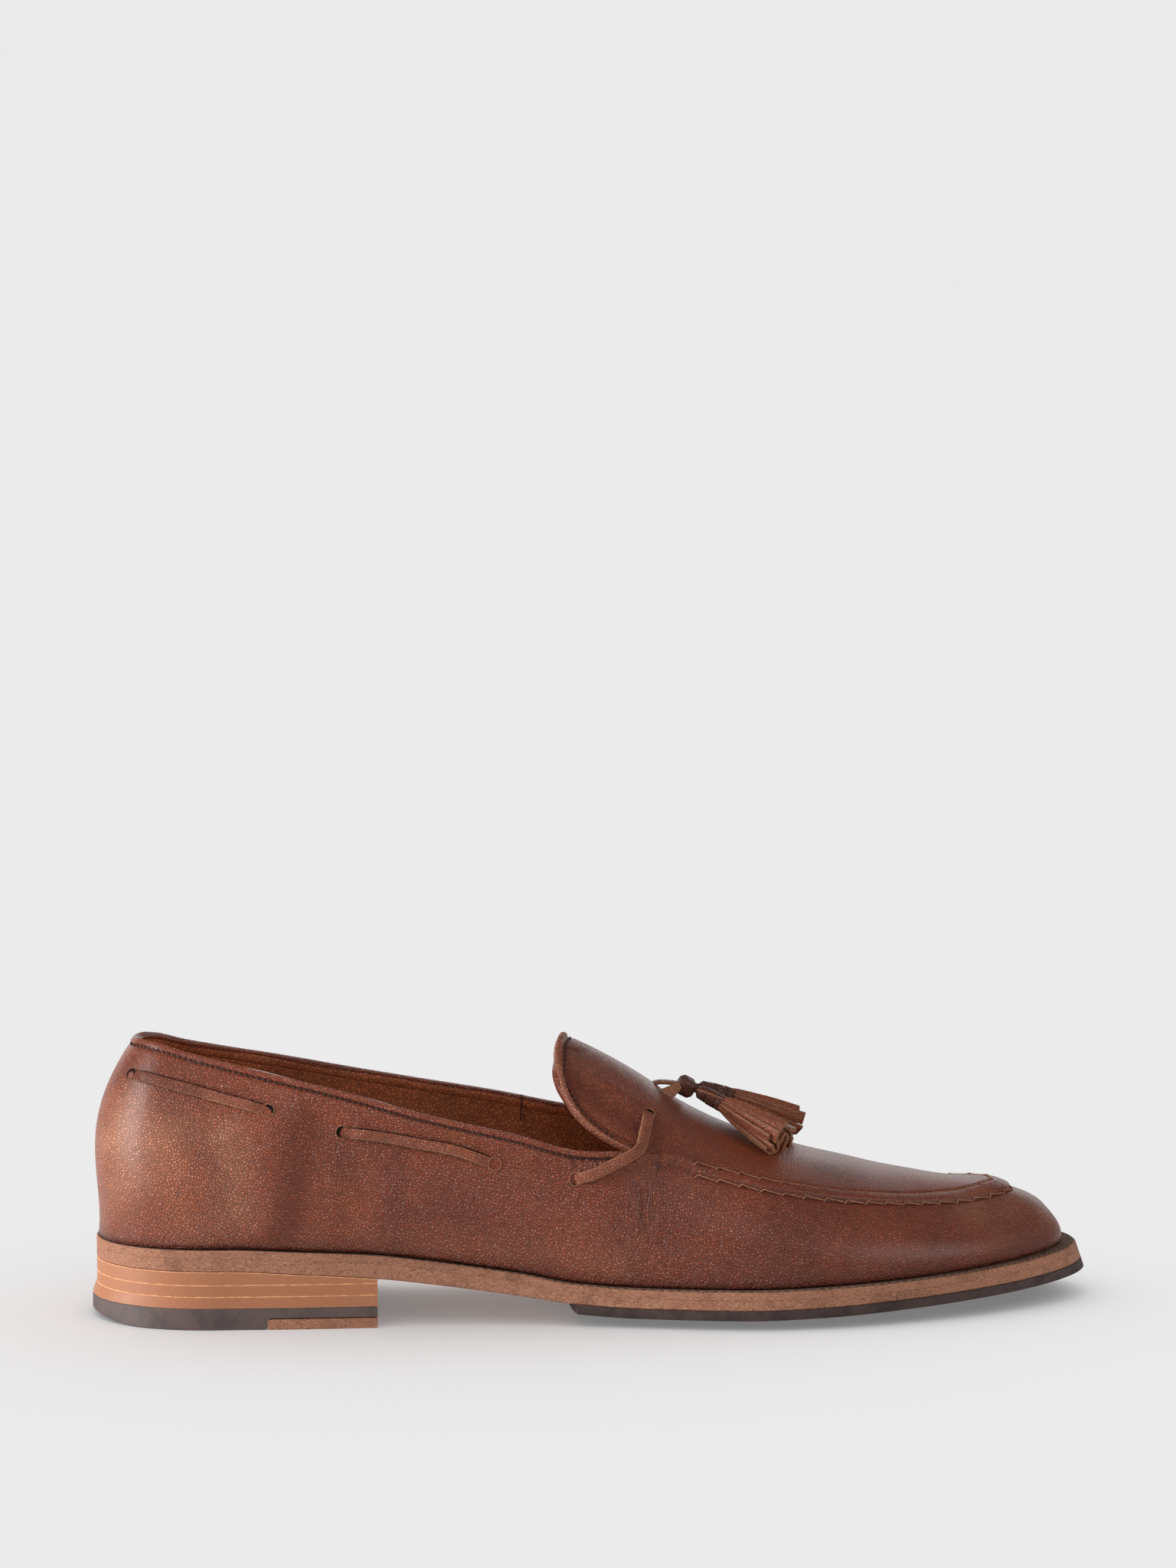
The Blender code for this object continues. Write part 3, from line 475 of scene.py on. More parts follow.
def makePatinaGroup():
    # burnished leather: clouds of darker and more orange dye, pebbles, fine creases, and a painted highlight
    # and painted shade from the piece's attributes
    look = patinaLook
    group, ins, outs = newGroup(
        "patina",
        (("Place", "Vector"), ("Base", "Color"), ("Dark", "Color"), ("Warm", "Color"), ("Shade", "Float"),
         ("Clouds", "Float"), ("Pebble Scale", "Float"), ("Wrinkle", "Float"), ("Rubbed", "Color"),
         ("Highlight", "Float")),
        (("Color", "Color"), ("Roughness", "Float"), ("Height", "Float")),
    )
    place = ins.outputs["Place"]
    broad = noiseNode(group, place, *look["clouds"])
    spots = noiseNode(group, place, *look["spots"])
    fine = noiseNode(group, place, *look["fine"])
    grit = noiseNode(group, place, *look["grit"])
    darkness = times(group, rangeNode(group, broad, *look["cloudRange"]), ins.outputs["Clouds"])
    warmth = times(group, rangeNode(group, spots, *look["spotRange"]), ins.outputs["Clouds"])
    colour = mixNode(group, warmth, ins.outputs["Base"], ins.outputs["Warm"])
    colour = mixNode(group, darkness, colour, ins.outputs["Dark"])
    # painted highlight: mixes in the pale pink tint
    colour = mixNode(group, ins.outputs["Highlight"], colour, ins.outputs["Rubbed"])
    # painted shade: pulls the colour towards the dark dye
    colour = mixNode(group, ins.outputs["Shade"], colour, ins.outputs["Dark"])

    # pebbles with slightly wavy borders
    wobble = addNode(group, "TexNoise")
    group.links.new(place, wobble.inputs["Vector"])
    feed(group, look["wobbleScale"], wobble, "Scale")
    bent = addNode(group, "VectorMath", operation="MULTIPLY_ADD")
    group.links.new(wobble.outputs["Color"], bent.inputs[0])
    bent.inputs[1].default_value = (look["wobble"],) * 3
    group.links.new(place, bent.inputs[2])
    pebbles = addNode(group, "TexVoronoi", feature="DISTANCE_TO_EDGE")
    group.links.new(bent.outputs[0], pebbles.inputs["Vector"])
    group.links.new(ins.outputs["Pebble Scale"], pebbles.inputs["Scale"])
    valley = rangeNode(group, pebbles.outputs["Distance"], *look["valleyRange"])
    tone = mathNode(group, "MULTIPLY_ADD", valley, look["pebbleTone"])
    tone.node.inputs[2].default_value = look["leastTone"]
    tone = plus(group, tone, times(group, mathNode(group, "SUBTRACT", fine, 0.5), look["fineTone"]))
    toned = addNode(group, "VectorMath", operation="SCALE")
    group.links.new(colour, toned.inputs[0])
    group.links.new(tone, toned.inputs["Scale"])

    # fine wrinkles, only where the piece's attribute asks for them
    stretched = addNode(group, "VectorMath", operation="MULTIPLY")
    group.links.new(place, stretched.inputs[0])
    stretched.inputs[1].default_value = look["foldStretch"]
    folds = noiseNode(group, stretched.outputs[0], *look["folds"])
    sharp = mathNode(group, "ABSOLUTE", mathNode(group, "SUBTRACT", folds, 0.5))
    crinkle = times(group, rangeNode(group, sharp, *look["foldRange"]), ins.outputs["Wrinkle"])
    height = times(group, valley, look["pebbleHeight"])
    for source, amount in ((grit, "gritHeight"), (fine, "fineHeight"), (crinkle, "foldHeight")):
        height = plus(group, height, times(group, source, look[amount]))
    rough = plus(group, times(group, broad, look["cloudRough"]), times(group, valley, look["pebbleRough"]))
    group.links.new(toned.outputs[0], outs.inputs["Color"])
    group.links.new(rough, outs.inputs["Roughness"])
    group.links.new(height, outs.inputs["Height"])
    return group


fibreLook = {
    "stretch": (900.0, 3600.0, 3600.0), "strands": (1.0, 4.0, 0.7, 0.3), "blotch": (90.0, 4.0, 0.65, 0.5),
    "pits": (1500.0, 2.0, 0.6),
    "darkRange": (0.45, 0.72), "paleRange": (0.52, 0.70), "hollowRange": (0.47, 0.30),
    "pitRange": (0.44, 0.30),
    "dark": 0.55, "pale": 0.80, "hollow": 0.85, "pitHeight": 0.5,
}


def makeFibreGroup():
    # cut leather edge: short fibres along the run, pits and darker burnish
    look = fibreLook
    group, ins, outs = newGroup(
        "fibre",
        (("Run", "Vector"), ("Base", "Color"), ("Dark", "Color"), ("Pale", "Color"), ("Amount", "Float")),
        (("Color", "Color"), ("Height", "Float"), ("Mask", "Float")),
    )
    run, amount = ins.outputs["Run"], ins.outputs["Amount"]
    stretched = addNode(group, "VectorMath", operation="MULTIPLY")
    group.links.new(run, stretched.inputs[0])
    stretched.inputs[1].default_value = look["stretch"]
    strands = noiseNode(group, stretched.outputs[0], *look["strands"])
    blotch = noiseNode(group, run, *look["blotch"])
    pits = noiseNode(group, run, *look["pits"])
    dark = times(group, rangeNode(group, blotch, *look["darkRange"]), amount)
    pale = times(group, rangeNode(group, strands, *look["paleRange"]), amount)
    hollows = rangeNode(group, strands, *look["hollowRange"])
    hollows = mathNode(group, "ADD", hollows, rangeNode(group, pits, *look["pitRange"]), True)
    low = times(group, hollows, amount)
    colour = ins.outputs["Base"]
    for mask, share, tint in ((dark, "dark", "Dark"), (pale, "pale", "Pale"), (low, "hollow", "Dark")):
        colour = mixNode(group, times(group, mask, look[share]), colour, ins.outputs[tint])
    height = plus(group, strands, times(group, pits, look["pitHeight"]))
    group.links.new(colour, outs.inputs["Color"])
    group.links.new(height, outs.inputs["Height"])
    group.links.new(blotch, outs.inputs["Mask"])
    return group


patinaGroup = makePatinaGroup()
fibreGroup = makeFibreGroup()


def startMaterial(name, colours):
    made = bpy.data.materials.new(name)
    made.use_nodes = True
    return made.node_tree, made.node_tree.nodes["Principled BSDF"], [finish[tint] for tint in colours.split()]


def addBump(tree, shader, height, distance):
    bump = addNode(tree, "Bump")
    feed(tree, 1.0, bump, "Strength")
    feed(tree, distance, bump, "Distance")
    tree.links.new(height, bump.inputs["Height"])
    tree.links.new(bump.outputs[0], shader.inputs["Normal"])


def leatherMaterial(name, colours, clouds, pebble=1250.0, roughness=0.36, coat=0.30, bump=0.42, shaded=False):
    # colours names the base, dark and warm dye; bump is in mm
    tree, shader, (base, dark, warm) = startMaterial(name, colours)
    place = addNode(tree, "TexCoord").outputs["Object"]
    group = addNode(tree, "Group", node_tree=patinaGroup)
    tree.links.new(place, group.inputs["Place"])
    settings = {"Base": base, "Dark": dark, "Warm": warm, "Clouds": clouds, "Pebble Scale": pebble,
                "Rubbed": finish["rubbed"]}
    for socket, value in settings.items():
        feed(tree, value, group, socket)
    # painted shade, fine wrinkles and painted highlight come from the piece's attributes
    for socket in ("Shade", "Wrinkle", "Highlight"):
        source = 0.0
        if shaded:
            source = addNode(tree, "Attribute", attribute_name=socket.lower()).outputs["Fac"]
        feed(tree, source, group, socket)
    tree.links.new(group.outputs["Color"], shader.inputs["Base Color"])
    tree.links.new(plus(tree, group.outputs["Roughness"], roughness), shader.inputs["Roughness"])
    addBump(tree, shader, group.outputs["Height"], bump * mm)
    shader.inputs["Specular IOR Level"].default_value = 0.32
    shader.inputs["Coat Weight"].default_value = coat
    shader.inputs["Coat Roughness"].default_value = 0.34
    return bpy.data.materials[name]


def fibreMaterial(name, colours, amount=1.0, roughness=0.50, bump=0.32, specular=0.35):
    # colours names the base, the burnish and the pale fibres
    tree, shader, (base, dark, pale) = startMaterial(name, colours)
    run = addNode(tree, "Attribute", attribute_name="run").outputs["Vector"]
    group = addNode(tree, "Group", node_tree=fibreGroup)
    tree.links.new(run, group.inputs["Run"])
    for socket, value in (("Base", base), ("Dark", dark), ("Pale", pale), ("Amount", amount)):
        feed(tree, value, group, socket)
    tree.links.new(group.outputs["Color"], shader.inputs["Base Color"])
    rough = mathNode(tree, "MULTIPLY_ADD", group.outputs["Mask"], 0.25)
    rough.node.inputs[2].default_value = roughness
    tree.links.new(rough, shader.inputs["Roughness"])
    addBump(tree, shader, group.outputs["Height"], bump * mm)
    shader.inputs["Specular IOR Level"].default_value = specular
    return bpy.data.materials[name]


def plainMaterial(name, colours, scale, roughness=0.7, bump=0.08, specular=0.3):
    # rubber, thread and the painted shade inside a hole: a base with darker clouds
    tree, shader, (base, dark) = startMaterial(name, colours)
    place = addNode(tree, "TexCoord").outputs["Object"]
    clouds = noiseNode(tree, place, scale, 4.0, 0.65, 0.2)
    grit = noiseNode(tree, place, scale * 9, 2.0)
    tree.links.new(mixNode(tree, rangeNode(tree, clouds, 0.35, 0.7), base, dark), shader.inputs["Base Color"])
    rough = mathNode(tree, "MULTIPLY_ADD", clouds, 0.2)
    rough.node.inputs[2].default_value = roughness
    tree.links.new(rough, shader.inputs["Roughness"])
    addBump(tree, shader, plus(tree, clouds, grit), bump * mm)
    shader.inputs["Specular IOR Level"].default_value = specular
    return bpy.data.materials[name]


upperLeather = leatherMaterial("upperLeather", "cognac burnt orange", 0.55, shaded=True)
bindingLeather = leatherMaterial("bindingLeather", "binding cognac orange", 0.6, roughness=0.40, coat=0.15)
laceLeather = leatherMaterial("laceLeather", "lace burnt orange", 0.8, 1500.0, 0.42, 0.12)
knotLeather = leatherMaterial("knotLeather", "knot burnt lace", 0.8, 1500.0, 0.42, 0.15)
liningLeather = leatherMaterial("liningLeather", "lining liningDark liningPale", 0.5, 900.0, 0.42, 0.0, 0.04)
rawEdge = leatherMaterial("rawEdge", "rawEdge rawDark rawPale", 1.0, 2400.0, 0.62, 0.0, 0.20)
cutEdge = leatherMaterial("cutEdge", "cut lace rawDark", 1.0, 2400.0, 0.62, 0.0, 0.20)
weltLeather = plainMaterial("weltLeather", "welt weltDark", 400.0, 0.7, 0.12)
soleLeather = fibreMaterial("soleLeather", "soleEdge soleDark solePale")
stackLeather = fibreMaterial("stackLeather", "stack stackDark stackPale", 0.45, 0.38, 0.05, 0.45)
stackSeam = plainMaterial("stackSeam", "seamPale stackPale", 500.0, 0.5, 0.02)
soleRubber = plainMaterial("soleRubber", "rubber rubberDark", 160.0)
topliftRubber = plainMaterial("topliftRubber", "toplift topliftDark", 120.0, 0.45, 0.05, 0.5)
threadDark = plainMaterial("threadDark", "threadDark threadShade", 900.0, 0.5, 0.05)
threadTan = plainMaterial("threadTan", "threadTan threadBrown", 900.0, 0.5, 0.05)
weltThread = plainMaterial("weltThread", "cutShade welt", 700.0, 0.7, 0.08)
# painted shade: the inside of holes and the top side of the rear laces
holeDark = plainMaterial("holeDark", "hole holeShade", 500.0, 0.8, 0.02, 0.1)
print("finishes ready")


# making of pieces

def activate(piece):
    bpy.ops.object.select_all(action="DESELECT")
    piece.select_set(True)
    bpy.context.view_layer.objects.active = piece


def newPiece(name, verts, faces, materials, faceMaterials=None, angle=40):
    mesh = bpy.data.meshes.new(name)
    mesh.from_pydata([tuple(v) for v in verts], [], faces)
    for one in materials:
        mesh.materials.append(one)
    if faceMaterials is not None:
        mesh.polygons.foreach_set("material_index", faceMaterials)
    made = bpy.data.objects.new(name, mesh)
    bpy.context.scene.collection.objects.link(made)
    activate(made)
    bpy.ops.object.mode_set(mode="EDIT")
    bpy.ops.mesh.select_all(action="SELECT")
    bpy.ops.mesh.normals_make_consistent(inside=False)
    bpy.ops.object.mode_set(mode="OBJECT")
    bpy.ops.object.shade_smooth_by_angle(angle=math.radians(angle))
    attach(made, "root")
    return made


def gridFaces(rows, columns, closed=False):
    faces = []
    for i in range(rows - 1):
        for j in range(columns if closed else columns - 1):
            k = (j + 1) % columns
            faces.append((i * columns + j, i * columns + k, (i + 1) * columns + k, (i + 1) * columns + j))
    return faces


def endFaces(size, total):
    return [tuple(range(size)), tuple(range(total - size, total))]


def sweep(points, ups, profile, widths=None, twists=None):
    # carries a closed outline of (beside, up) pairs along the points; returns vertices, faces and, for each
    # face, which side of the outline it is on (-1 for the ends)
    count, size = len(points), len(profile)
    verts = []
    for i in range(count):
        along = (points[min(i + 1, count - 1)] - points[max(i - 1, 0)]).normalized()
        beside = along.cross(ups[i]).normalized()
        upward = beside.cross(along).normalized()
        if twists:
            turned = Matrix.Rotation(twists[i], 3, along)
            beside, upward = turned @ beside, turned @ upward
        wide = widths[i] if widths else 1.0
        verts += [points[i] + beside * u * wide + upward * v for u, v in profile]
    start, end = endFaces(size, len(verts))
    faces = gridFaces(count, size, True) + [start[::-1], end]
    return verts, faces, list(range(size)) * (count - 1) + [-1, -1]


def joinParts(parts):
    verts, faces, marks = [], [], []
    for partVerts, partFaces, partMarks in parts:
        start = len(verts)
        verts += list(partVerts)
        faces += [tuple(start + i for i in face) for face in partFaces]
        marks += list(partMarks)
    return verts, faces, marks


def runningLengths(points):
    lengths = [0.0]
    for a, b in zip(points, points[1:]):
        lengths.append(lengths[-1] + (b - a).length)
    return lengths


def smoothPath(points, count):
    # evenly spaced points on a Catmull-Rom curve
    dense = []
    padded = [points[0] * 2 - points[1]] + list(points) + [points[-1] * 2 - points[-2]]
    for i in range(1, len(padded) - 2):
        p0, p1, p2, p3 = padded[i - 1:i + 3]
        for k in range(24):
            u = k / 24
            dense.append(0.5 * (2 * p1 + (p2 - p0) * u + (2 * p0 - 5 * p1 + 4 * p2 - p3) * u * u
                                + (3 * p1 - p0 - 3 * p2 + p3) * u**3))
    dense.append(points[-1].copy())
    lengths = runningLengths(dense)
    made = []
    for i in range(count):
        goal = lengths[-1] * i / (count - 1)
        j = min(max(k for k in range(len(lengths)) if lengths[k] <= goal + 1e-12), len(dense) - 2)
        part = (goal - lengths[j]) / max(lengths[j + 1] - lengths[j], 1e-9)
        made.append(dense[j].lerp(dense[j + 1], part))
    return made


# upper

upperLook = {
    "columns": 168, "levels": 28, "fineDepth": 0.0090, "fineSteps": 25, "acrossFaces": 64,
    "denseBack": 0.070, "denseFront": 0.066, "denseStep": 0.0018, "tipTurn": 0.982, "seamStart": 0.582,
    "ridgeDrops": (0.0, 0.5, 1.2, 2.2, 2.9, 3.3, 3.7, 4.0, 4.4),
    "ridgeRises": (0.0, 0.36, 0.68, 0.88, 0.92, 0.84, 0.50, 0.10, 0.0),
    "grooveDepth": 0.00042, "grooveWidth": 0.00075, "collarStitchDrop": 0.0020, "tongueStitchDrop": 0.0027,
    "footDepth": 0.0028, "seamOnset": 0.003, "waveHeight": 0.00020, "waveScale": 45,
    # painted shade along the collar and tongue stitches, the apron seam's low and high row, and at the foot
    # above the welt
    "shades": (0.55, 0.85, 0.9, 0.9),
}
# name, depth in mm (below 0 for a ridge), width in mm, fine wrinkles beside it, then points in mm from the heel
creases = (
    ("tongueTop1", 0.45, 0.9, 0.5, ((141, -9, 77.2), (145, -8, 75.9), (150, 0, 75.2))),
    ("tongueTop2", 0.40, 0.8, 0.5, ((146.6, -2, 76.7), (151, 0, 74.4))),
    ("tongueTrough", 1.5, 5.0, 0.6,
     ((141, -20, 70), (146, -22, 67), (150, -24, 64), (155, -25.5, 61), (159, -28, 58))),
    ("tongueRidge", -0.8, 3.0, 0.3, ((148, -18, 69), (153, -20, 66), (158, -22, 63))),
    ("seamFold", -0.5, 1.8, 0.6,
     ((163, -37, 48.8), (167, -36.5, 49.1), (171, -36, 48.5), (174, -36.4, 47.4))),
    ("seamFoldUnder", 0.35, 1.2, 0.6, ((163.5, -38, 46.6), (168, -38, 46.4), (173, -38, 45.4))),
    ("flex1", 0.35, 0.9, 0.8,
     ((159, -40.4, 39.8), (159.7, -41.4, 35.7), (159.2, -42, 32.2), (160.2, -42.6, 29.3))),
    ("flex2", 0.25, 0.8, 0.8, ((161, -40.6, 39.2), (161.7, -41.5, 35.7), (162.3, -42.4, 32.2))),
    ("flex3", 0.25, 0.8, 0.8, ((164.4, -36.3, 50), (164.6, -37.7, 47.2), (164.1, -38.5, 44.9))),
    ("collarWrinkle1", 0.22, 0.8, 0.5, ((139, -37.5, 49.7), (140.5, -38, 47.4))),
    ("collarWrinkle2", 0.22, 0.8, 0.5, ((141, -37.3, 50.3), (143.5, -38, 47.3))),
    ("collarWrinkle3", 0.22, 0.8, 0.5, ((144.2, -37.3, 50.2), (147, -37.9, 47.5))),
    ("throatFold", 0.30, 1.2, 0.5, ((158.6, -36.7, 50.8), (162.4, -34.9, 51.6), (165.3, -31.6, 53.5))),
    ("counterTrough", 1.3, 5.0, 0.0,
     ((66.5, -32, 60), (64.5, -33, 54), (63.3, -33.7, 46.6), (62.1, -33.8, 39), (60, -33, 31))),
    ("counterRidge", -0.9, 5.0, 0.0,
     ((55, -31, 60), (53.5, -32, 53), (52.5, -32.4, 45.5), (52, -32.5, 37), (51, -32, 30))),
    ("toeSwell", -0.9, 5.0, 0.0, ((281, -14, 28), (285, 0, 28), (281, 14, 28))),
    ("quarterTrough", 0.7, 6.0, 0.0, ((77.4, -35.3, 48), (76.4, -35.5, 42.5), (75.4, -35, 34.5))),
    ("lowSheen", -0.3, 3.0, 0.0, ((48, -33, 28.8), (62, -34, 29.7), (76, -34, 29.5), (91, -34, 26.2))),
)

# painted shade, as darker patches: strength, radius in mm, then points in mm, x from the heel
paintedShadeSpots = (
    (0.30, 5.0, ((143, -11, 75), (146, -17, 70), (149, -22, 65))),
    (0.30, 4.5, ((154, -26, 61), (163, -27, 57))),
    (0.30, 4.5, ((171, -10, 61), (174, -18, 57))),
    (0.30, 6.0, ((60, -33, 60), (59, -34, 46), (58, -34, 30))),
    (0.15, 6.0, ((196, -40, 33), (222, -38, 29), (245, -28, 26))),
    (0.30, 8.0, ((118, -38, 44), (140, -39, 40))),
    (0.10, 7.0, ((20, -22, 30), (60, -33, 24), (100, -35, 22), (150, -42, 17))),
    (0.12, 9.0, ((180, -44, 24), (215, -44, 18))),
)

# painted highlight, mixed into the colour as a paler pink tint: strength, radius in mm, then points in mm, x
# from the heel
paintedHighlights = (
    (0.85, 11.0, ((6, -14, 56), (13, -21, 54), (20, -25, 52))),
    (0.50, 9.0, ((5, -12, 34), (9, -17, 42))),
    (0.25, 12.0, ((30, -28, 28), (36, -30, 32))),
    (0.55, 6.0, ((40, -32, 57), (41, -33, 48), (41, -33, 38))),
    (0.25, 6.0, ((62, -33, 23), (100, -35, 22), (150, -42, 17))),
    (0.35, 9.0, ((262, -22, 27), (276, -10, 26))),
    (0.30, 6.0, ((140, -12, 74), (146, -14, 70))),
)


def halfTurns():
    # stations of one side, closer together round the throat
    throat, step = last["throat"], upperLook["denseStep"]
    forward = int(upperLook["denseFront"] / step)
    back = int(upperLook["denseBack"] / step)
    dense = [turnAt(throat + step * i) for i in range(-back, forward + 1)]
    whole = [i / upperLook["columns"] for i in range(upperLook["columns"] + 1)]
    apart = [u for u in whole if u < dense[0] - 0.002 or dense[-1] + 0.002 < u < upperLook["tipTurn"]]
    return sorted(apart + dense + [1.0])


def lineDistance(points, line):
    # distance of each point from a chain of straight pieces
    nearest = np.full(len(points), 1e9)
    for a, b in zip(line, line[1:]):
        ab = b - a
        u = np.clip(((points - a) @ ab) / (ab @ ab), 0, 1)
        nearest = np.minimum(nearest, np.linalg.norm(points - (a + u[:, None] * ab), axis=1))
    return nearest


def fromHeel(line):
    # table points count from the heel's back, in mm
    return np.array([((x - 150) * mm, y * mm, z * mm) for x, y, z in line])


def creaseEffects(points):
    # for each point: move along its normal in metres, painted shade in narrow creases and darker patches, fine
    # wrinkles, and painted highlight
    shift, shade, wrinkle, highlight = np.zeros((4, len(points)))
    for _, depth, width, fine, line in creases:
        distance = lineDistance(points, fromHeel(line)) / mm
        shift -= depth * mm * np.exp(-((distance / width) ** 2))
        # painted shade in the narrow creases
        if width < 1.5 and depth > 0:
            shade += 0.55 * np.exp(-((distance / width) ** 2))
        wrinkle = np.maximum(wrinkle, fine * np.exp(-((distance / (width + 4)) ** 2)))
    uneven = np.array([0.75 + 0.5 * noise.noise(Vector(p) * 110) for p in points])
    # the darker patches add painted shade, the paler ones painted highlight
    for places, effect in ((paintedShadeSpots, shade), (paintedHighlights, highlight)):
        for strength, radius, line in places:
            distance = lineDistance(points, fromHeel(line)) / mm
            effect += strength * uneven * np.exp(-((distance / radius) ** 2))
    return shift, shade, wrinkle, highlight


def upperMesh():
    # wall columns round the shoe, then cross rows over the vamp and tongue
    half = halfTurns()
    ring = half + [2 - u for u in reversed(half[1:-1])]
    fine = list(np.linspace(upperLook["fineDepth"], 0, upperLook["fineSteps"]))
    levels = upperLook["levels"]
    verts, drops, ts = [], [], []
    for turn in ring:
        length = wallCurve(turn, [0.0])[1]
        distances = list(np.linspace(length, upperLook["fineDepth"], levels + 1)[:-1]) + fine
        verts += [Vector(p) for p in wallCurve(turn, distances)[0]]
        drops += distances
        ts += [station(turn)[0]] * len(distances)
    size = levels + len(fine)
    count = len(ring)
    faces = gridFaces(count, size)
    faces += [((count - 1) * size + j, j, j + 1, (count - 1) * size + j + 1) for j in range(size - 1)]
    throat = min(range(len(half)), key=lambda i: abs(station(half[i])[0] - last["throat"]))
    across = [2 * j / upperLook["acrossFaces"] - 1 for j in range(upperLook["acrossFaces"] + 1)]
    across = [0.55 * math.sin(math.pi / 2 * u) + 0.45 * u for u in across]
    rows = []
    for i in range(throat, len(half) - 1):
        t = last["throat"] if i == throat else station(half[i])[0]
        row = [i * size + size - 1]
        for value in across[1:-1]:
            row.append(len(verts))
            verts.append(vampPoint(t, value))
            drops.append(-1.0)
            ts.append(t)
        row.append((count - i) * size + size - 1)
        rows.append(row)
    for first, second in zip(rows, rows[1:]):
        faces += [(first[j], first[j + 1], second[j + 1], second[j]) for j in range(len(first) - 1)]
    tip = (len(half) - 1) * size + size - 1
    faces += [(rows[-1][j], rows[-1][j + 1], tip) for j in range(len(rows[-1]) - 1)]
    return verts, faces, np.array(drops), np.array(ts)


def makeUpper():
    verts, faces, drops, ts = upperMesh()
    piece = newPiece("upperShell", verts, faces, [upperLeather, liningLeather])
    mesh = piece.data
    normals = np.array([list(v.normal) for v in mesh.vertices])
    if normals[0][0] > 0:
        normals = -normals
    points = np.array([list(v.co) for v in mesh.vertices])
    onWall = drops >= 0
    started = np.clip((ts - upperLook["seamStart"]) / upperLook["seamOnset"], 0, 1)
    rise = started * np.array([readTable(seamLine, "rise", t) for t in ts])
    width = np.array([readTable(seamLine, "width", t) for t in ts])
    groove = upperLook["grooveWidth"]

    def band(distance):
        return np.exp(-((distance / groove) ** 2))

    ridgeDrops, ridgeRises = (np.array(upperLook[key]) * mm for key in ("ridgeDrops", "ridgeRises"))
    ridge = np.interp(drops / width, ridgeDrops, ridgeRises)
    lowRow = band(drops - last["seamWidth"] * width) * onWall
    throatTurn = turnAt(last["throat"])
    rimChain = np.array([list(wallEnds(mixed(throatTurn, 2 - throatTurn, i / 320))[3]) for i in range(321)])
    tongueChain = np.array([list(vampPoint(last["throat"], i / 40 - 1)) for i in range(81)])
    rimDistance = np.where(onWall, drops, 1.0)
    tongueDistance = np.full(len(points), 1.0)
    rimDistance[~onWall] = lineDistance(points[~onWall], rimChain)
    tongueDistance[~onWall] = lineDistance(points[~onWall], tongueChain)
    highRow = band(rimDistance) * (ts > 0.55)
    collarRow = band(drops - upperLook["collarStitchDrop"]) * onWall * (ts <= last["throat"])
    tongueRow = band(tongueDistance - upperLook["tongueStitchDrop"])
    creaseShift, creaseShade, wrinkle, highlight = creaseEffects(points)
    shift = rise * np.where(onWall, ridge, 0) + creaseShift
    shift -= upperLook["grooveDepth"] * (rise * (lowRow + highRow) + collarRow + tongueRow)
    waves = np.array([noise.noise(Vector(p) * upperLook["waveScale"]) for p in points])
    shift += upperLook["waveHeight"] * waves
    onEdge = (rimDistance < 1e-5) & (ts < last["throat"] + 0.001)
    shift = np.where(onEdge | (tongueDistance < 1e-5), 0.0, shift)
    points = points + normals * shift[:, None]
    mesh.vertices.foreach_set("co", points.ravel())
    # painted shade: stitch grooves, the seam's rows, narrow creases, the darker patches and the foot above the
    # welt
    lowness = np.clip([p[2] - weltTop(t) for p, t in zip(points, ts)], 0, 1) / upperLook["footDepth"]
    rowShade, lowShade, highShade, footShade = upperLook["shades"]
    shade = rowShade * (collarRow + tongueRow) + rise * (lowShade * lowRow + highShade * highRow)
    shade += creaseShade
    shade += footShade * np.exp(-(lowness**1.3))
    # kept on the mesh for the finish: painted shade, fine wrinkles and painted highlight
    for name, values in (("shade", shade), ("wrinkle", wrinkle), ("highlight", highlight)):
        layer = mesh.attributes.new(name, "FLOAT", "POINT")
        layer.data.foreach_set("value", np.clip(values, 0, 1).astype(np.float32))
    mesh.update()
    if normals[0].dot(np.array(mesh.vertices[0].normal)) < 0:
        mesh.flip_normals()
    leather = BVHTree.FromPolygons([tuple(p) for p in points], [tuple(p.vertices) for p in mesh.polygons])
    activate(piece)
    lining = piece.modifiers.new("lining", "SOLIDIFY")
    lining.thickness, lining.offset = last["wall"], -1
    lining.material_offset, lining.material_offset_rim = 1, 0
    bpy.ops.object.modifier_apply(modifier="lining")
    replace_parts(piece, "upper")
    print("upper", len(piece.data.polygons), "faces")
    return leather


surface = makeUpper()


def onSurface(point, reach=0.02):
    # nearest point on the finished leather and its outward normal
    place, normal, _, _ = surface.find_nearest(point, reach)
    return place, normal


# topline binding and its stitches

bindingLook = {
    "lip": 0.0007,
    # depth from the edge, bulge off the leather, height over the wall's edge, gathers
    "collar": (0.0015, 0.00018, 0.00030, 0.00003),
    "tongue": (0.0015, 0.00045, 0.00040, 0.00020),
}


def edgePath(turns):
    # points, outward normals and directions into the surface along the collar
    made = []
    for turn in turns:
        rim = wallPoint(turn, 0.0)
        below = wallPoint(turn, 0.0012)
        made.append((rim, wallNormal(turn, 0.0012), (below - rim).normalized()))
    return made


def tonguePath(count):
    made = []
    for i in range(count + 1):
        across = 2 * i / count - 1
        edge = vampPoint(last["throat"], across)
        inside = vampPoint(last["throat"] + 0.0045, across)
        made.append((edge, vampNormal(last["throat"] + 0.004, across), (inside - edge).normalized()))
    return made


